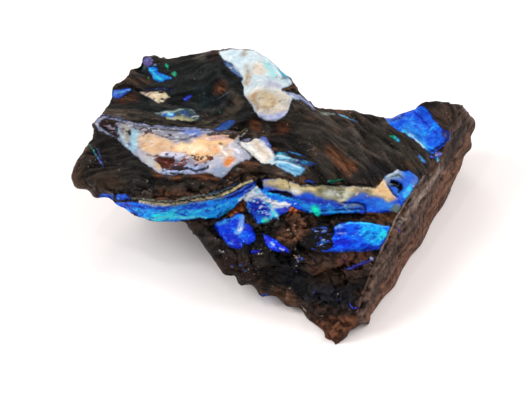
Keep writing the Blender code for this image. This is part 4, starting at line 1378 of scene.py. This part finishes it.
class Nodes:
    """Builds a material's nodes: each call adds one node or a few and returns its output."""

    def __init__(self, name):
        self.material = bpy.data.materials.new(name)
        self.material.use_nodes = True
        self.tree = self.material.node_tree
        self.shader = self.tree.nodes["Principled BSDF"]

    def put(self, socket, value):
        """Link an output to a socket, or set the socket to a plain value."""
        if isinstance(value, bpy.types.NodeSocket):
            self.tree.links.new(value, socket)
        else:
            socket.default_value = value

    def node(self, kind, inputs, output=0, **settings):
        """Add a node, set it up and return one of its outputs."""
        made = self.tree.nodes.new(kind)
        for key, value in settings.items():
            setattr(made, key, value)
        for key, value in inputs.items():
            self.put(made.inputs[key], value)
        return made.outputs[output]

    def attribute(self, name):
        """Read the number that the mesh stores for each point."""
        return self.node("ShaderNodeAttribute", {}, "Fac", attribute_name=name)

    def triple(self, name):
        """Read the colour or place that the mesh stores for each point."""
        return self.node("ShaderNodeAttribute", {}, "Vector", attribute_name=name)

    def math(self, operation, first, second):
        """Combine two numbers."""
        return self.node("ShaderNodeMath", {0: first, 1: second}, operation=operation)

    def product(self, first, *others):
        """Multiply numbers."""
        for other in others:
            first = self.math("MULTIPLY", first, other)
        return first

    def total(self, *parts):
        """Add up numbers, each times its share."""
        first, *others = (self.product(value, share) for value, share in parts)
        for other in others:
            first = self.math("ADD", first, other)
        return first

    def ramp(self, value, low, high):
        """Climb softly from 0 to 1 as value goes from low to high."""
        limits = {"Value": value, "From Min": low, "From Max": high}
        return self.node("ShaderNodeMapRange", limits, interpolation_type="SMOOTHSTEP")

    def between(self, share, first, second):
        """Mix two numbers."""
        return self.node("ShaderNodeMix", {"Factor": share, "A": first, "B": second})

    def mix(self, share, first, second, blend="MIX"):
        """Mix two colours."""
        mixer = self.tree.nodes.new("ShaderNodeMix")
        mixer.data_type = "RGBA"
        mixer.blend_type = blend
        for key, value in (("Factor_Float", share), ("A_Color", first), ("B_Color", second)):
            socket = next(socket for socket in mixer.inputs if socket.identifier == key)
            self.put(socket, value)
        return next(socket for socket in mixer.outputs if socket.identifier == "Result_Color")

    def filtered(self, colour, colour_filter):
        """Multiply a colour's red, green and blue."""
        return self.mix(1.0, colour, (*colour_filter, 1.0), "MULTIPLY")

    def washed(self, colour, share, colour_filter):
        """Put a share of a colour through a filter."""
        return self.mix(share, colour, self.filtered(colour, colour_filter))

    def scaled(self, vector, scale):
        """Multiply a colour or a place by a number."""
        return self.node("ShaderNodeVectorMath", {0: vector, "Scale": scale}, operation="SCALE")

    def stone_place(self):
        """Return the place on the stone in mm."""
        return self.scaled(self.node("ShaderNodeTexCoord", {}, "Object"), 1 / MM)

    def turned_place(self, angle):
        """Return the place on the stone in mm, turned about the vertical."""
        turn = {"Vector": self.stone_place(), "Angle": angle}
        return self.node("ShaderNodeVectorRotate", turn, rotation_type="Z_AXIS")

    def cloud(self, size, detail=3.0, rough=0.5, warp=0.0, where=None):
        """Return noise whose cells are size mm across (one number or three)."""
        sizes = size if isinstance(size, tuple) else (size,) * 3
        cells = {0: where or self.stone_place(), 1: tuple(1 / side for side in sizes)}
        place = self.node("ShaderNodeVectorMath", cells, operation="MULTIPLY")
        pattern = {"Vector": place, "Scale": 1.0, "Detail": detail, "Roughness": rough, "Distortion": warp}
        return self.node("ShaderNodeTexNoise", pattern, "Fac")


def rock_lines(n, flow):
    """Return the rock's fine pattern: fibres on the top, saw streaks on the right, beds elsewhere."""
    mottle = n.cloud(1.6, detail=5.0, rough=0.68)
    fibres = n.cloud((4.5, 0.9, 2.6), detail=5.0, rough=0.66, warp=0.9, where=flow)
    bedding = n.cloud((9.0, 9.0, 1.1), detail=5.0, rough=0.62, warp=0.5, where=flow)
    along = n.turned_place(-RIGHT_BEARING)
    streaks = n.cloud((12.0, 1.4, 1.4), detail=5.0, rough=0.62, warp=0.3, where=along)
    broken = n.total((mottle, 0.6), (bedding, 0.4))
    sawn = n.total((streaks, 0.6), (mottle, 0.4))
    return n.between(n.attribute("right_side"), n.between(n.attribute("top"), broken, fibres), sawn)


def rusty_rock(n):
    """Return the rock's colour under rust, which is weaker on the sawn side, and soot."""
    rust = n.cloud((6.0, 4.0, 3.0), detail=5.0, rough=0.62, warp=0.4)
    rusty = n.product(n.ramp(rust, 0.56, 0.70), n.between(n.attribute("right_side"), 1.0, 0.35))
    rock = n.washed(n.triple("rock"), rusty, RUST_FILTER)
    return n.washed(rock, n.ramp(rust, 0.46, 0.34), SOOT_FILTER)


def painted_relief_shading(n, flow, lines):
    """Return how light the rock is: painted shade in the hollows and painted highlights on what stands out
    and on the crests, over its fine lines and beds.
    """
    rise = n.ramp(n.attribute("rise"), -1.1, 0.9)
    beds = n.ramp(n.cloud((12.0, 2.6, 5.0), detail=5.0, rough=0.6, warp=0.8, where=flow), 0.42, 0.60)
    crest = n.ramp(n.attribute("crest"), -0.16, 0.30)
    light = n.total((rise, 0.9), (n.ramp(lines, 0.44, 0.62), 1.15), (beds, 0.95))
    return n.total((light, 0.42), (crest, 0.75))


def pale_threads(n, flow):
    """Return where thin pale threads run along the top."""
    threads = n.ramp(n.cloud((11.0, 0.8, 2.6), rough=0.6, warp=0.5, where=flow), 0.54, 0.62)
    groups = n.ramp(n.cloud(6.0, detail=2.0), 0.42, 0.60)
    return n.product(threads, groups, n.product(n.attribute("top"), 0.65))


def painted_glints(n):
    """Return where painted glints lighten the rock's colour, as if it were wet, most of all on the broken
    sides.
    """
    glints = n.ramp(n.cloud(0.75, rough=0.6), 0.62, 0.69)
    groups = n.ramp(n.cloud(5.0, detail=2.0), 0.56, 0.66)
    broken = n.math("SUBTRACT", 1.0, n.math("ADD", n.attribute("top"), n.attribute("right_side")))
    return n.product(glints, groups, n.between(broken, 0.45, 0.9))


def rock_nodes(n):
    """Return the ironstone's colour, roughness and height."""
    flow = n.triple("flow")
    lines = rock_lines(n, flow)
    # the rock's colour is scaled by painted shade and painted highlights that follow the relief
    rock = n.scaled(rusty_rock(n), painted_relief_shading(n, flow, lines))
    rock = n.washed(rock, pale_threads(n, flow), THREAD_FILTER)
    # painted glints: pale specks laid into the rock's colour
    rock = n.mix(painted_glints(n), rock, shader_colour(PAINTED_GLINT))
    rock = n.mix(n.attribute("stained"), rock, n.triple("stain"))
    grain = n.cloud(0.7, detail=4.0, rough=0.65)
    glossy = {"Value": grain, "From Min": 0.35, "From Max": 0.65, "To Min": 0.14, "To Max": 0.36}
    rough = n.between(n.attribute("right_side"), n.node("ShaderNodeMapRange", glossy), 0.7)
    return rock, rough, n.math("ADD", n.product(grain, 0.7), lines)


def fire_nodes(n, tint, rim):
    """Return the colour of precious opal: a blue that breaks into cyan, azure and deep blue flakes."""
    streaks = n.triple("streaks")
    wide = n.cloud((5.0, 2.6, 2.6), rough=0.6, warp=0.8, where=streaks)
    flakes = n.cloud((1.5, 1.0, 1.0), detail=4.0, rough=0.62, warp=0.6, where=streaks)
    sparks = n.cloud((0.9, 0.6, 0.6), rough=0.65, warp=0.5, where=streaks)
    level = n.total((wide, 0.55), (flakes, 0.45))
    contrast = n.between(n.attribute("top"), 1.0, 0.4)
    fire = n.washed(tint, n.product(n.ramp(level, 0.49, 0.41), contrast), DEEP_BLUE_FILTER)
    bright = n.mix(0.12, n.filtered(tint, CYAN_FILTER), shader_colour(CYAN_FLAKE))
    fire = n.mix(n.ramp(level, 0.51, 0.60), fire, bright)
    clusters = n.product(n.ramp(sparks, 0.57, 0.65), n.ramp(wide, 0.47, 0.58))
    fire = n.mix(n.product(clusters, 0.5), fire, shader_colour(SPARK))
    return n.mix(rim, n.filtered(fire, FIRE_RIM_FILTER), fire)


def milk_nodes(n, tint, rim):
    """Return the colour of milky opal: curdled, specked with brown and blue-grey at the thin rim."""
    streaks = n.triple("streaks")
    curdle = n.cloud((4.0, 2.6, 2.6), detail=4.0, rough=0.6, warp=0.8, where=streaks)
    wisps = n.cloud((2.4, 1.4, 1.4), rough=0.6, warp=0.5, where=streaks)
    specks = n.cloud((0.9, 0.6, 0.6), rough=0.65, warp=0.2, where=streaks)
    red, blue = (n.node("ShaderNodeSeparateColor", {0: tint}, channel) for channel in ("Red", "Blue"))
    warm = n.ramp(n.math("SUBTRACT", red, blue), 0.02, 0.25)
    milky = n.washed(tint, n.ramp(curdle, 0.58, 0.36), CURDLE_FILTER)
    milky = n.mix(n.ramp(wisps, 0.52, 0.74), milky, n.mix(0.45, milky, shader_colour(CURD_WHITE)))
    milky = n.washed(milky, n.product(n.ramp(wisps, 0.45, 0.32), warm), BROWN_STAIN_FILTER)
    speckled = n.product(n.ramp(specks, 0.60, 0.68), n.product(warm, n.ramp(curdle, 0.56, 0.44)))
    milky = n.washed(milky, speckled, BROWN_SPECK_FILTER)
    return n.mix(rim, n.filtered(milky, MILK_RIM_FILTER), milky)


def stone_material():
    """Return the stone's material: ironstone with opal over it."""
    n = Nodes("ironstone_and_opal")
    opal = n.attribute("opal")
    edge_noise = n.product(n.math("SUBTRACT", n.cloud(0.8), 0.5), 0.5)
    is_milk = n.ramp(n.math("ADD", n.attribute("milk"), edge_noise), -0.25, 0.15)
    wide_noise = n.math("SUBTRACT", n.cloud(1.7, detail=4.0, rough=0.65), 0.5)
    ragged = n.product(wide_noise, n.product(is_milk, 0.6))
    edge = n.math("ADD", opal, n.math("ADD", edge_noise, ragged))
    is_opal = n.ramp(n.math("DIVIDE", edge, n.between(is_milk, 0.07, 0.3)), -0.7, 1.0)
    rim = n.ramp(n.math("ADD", opal, n.product(edge_noise, 1.6)), -0.05, 0.5)
    tint = n.scaled(n.triple("tint"), TINT_SCALE)
    surface = n.mix(is_milk, fire_nodes(n, tint, rim), milk_nodes(n, tint, rim))
    rock, rock_rough, rock_height = rock_nodes(n)
    height = n.between(is_opal, rock_height, n.cloud(1.6, rough=0.55))
    bump = {"Strength": 0.8, "Distance": 0.6 * MM, "Height": height}
    finish = {
        "Base Color": n.mix(is_opal, rock, surface),
        "Roughness": n.between(is_opal, rock_rough, n.between(is_milk, 0.35, 0.28)),
        "Specular IOR Level": 0.07,
        "Coat Weight": n.product(is_opal, 0.08),
        "Normal": n.node("ShaderNodeBump", bump),
    }
    for name, value in finish.items():
        n.put(n.shader.inputs[name], value)
    return n.material


# -------------------------------------------------------------- the studio
FLOOR_WIDTH = 6000
FLOOR_COLOUR = (0.95, 0.905, 0.89, 1.0)
FLOOR_ROUGHNESS = 0.9
SURROUND_COLOUR = (1, 0.955, 0.94, 1)
SURROUND_STRENGTH = 0.55
WHITE = (1, 1, 1)

# Lamps: place, width, power (W) and tint.
LAMPS = {
    "left_lamp": ((-400, -20, 340), 240, 1.75, (1, 1, 0.99)),
    "right_lamp": ((380, 80, 380), 240, 1.2, WHITE),
    "back_lamp": ((-40, 380, 420), 200, 0.5, WHITE),
}

# Small lamps whose reflections glint on the opal.
GLINT_PLACES = ((-150, -60, 520), (330, -120, 420), (20, -420, 330))
GLINT_WIDTH = 24
GLINT_POWER = 0.16


def floor_material():
    """Return a plain matt finish for the floor."""
    n = Nodes("floor")
    n.put(n.shader.inputs["Base Color"], FLOOR_COLOUR)
    n.put(n.shader.inputs["Roughness"], FLOOR_ROUGHNESS)
    return n.material


def add_floor():
    """Lay a wide pale floor under the stone."""
    half = FLOOR_WIDTH / 2 * MM
    corners = [(-half, -half, 0), (half, -half, 0), (half, half, 0), (-half, half, 0)]
    mesh = bpy.data.meshes.new("floor")
    mesh.from_pydata(corners, [], [(0, 1, 2, 3)])
    mesh.materials.append(floor_material())
    floor = add_object("floor", mesh)


def add_light(name, place, width, power, tint):
    """Hang a soft square light at a place, turned to the stone."""
    data = bpy.data.lights.new(name, "AREA")
    data.shape = "SQUARE"
    data.size = width * MM
    data.energy = power
    data.color = tint
    light = add_object(name, data)
    light.location = Vector(place) * MM
    light.rotation_euler = (light.location - AIM).to_track_quat("Z", "Y").to_euler()


def light_studio():
    """Light the stone softly from above, inside a pale surround."""
    world = bpy.data.worlds.new("surround")
    world.use_nodes = True
    background = world.node_tree.nodes["Background"]
    background.inputs["Color"].default_value = SURROUND_COLOUR
    background.inputs["Strength"].default_value = SURROUND_STRENGTH
    bpy.context.scene.world = world
    for name, lamp in LAMPS.items():
        add_light(name, *lamp)
    for number, place in enumerate(GLINT_PLACES):
        add_light(f"glint_{number}", place, GLINT_WIDTH, GLINT_POWER, WHITE)
    bpy.context.scene.view_settings.view_transform = "Standard"


noise.seed_set(NOISE_SEED)
stone = build_stone()
stone.data.materials.clear()
stone.data.materials.append(stone_material())
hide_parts(NODE)
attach(stone, "root")
add_camera()
add_floor()
light_studio()
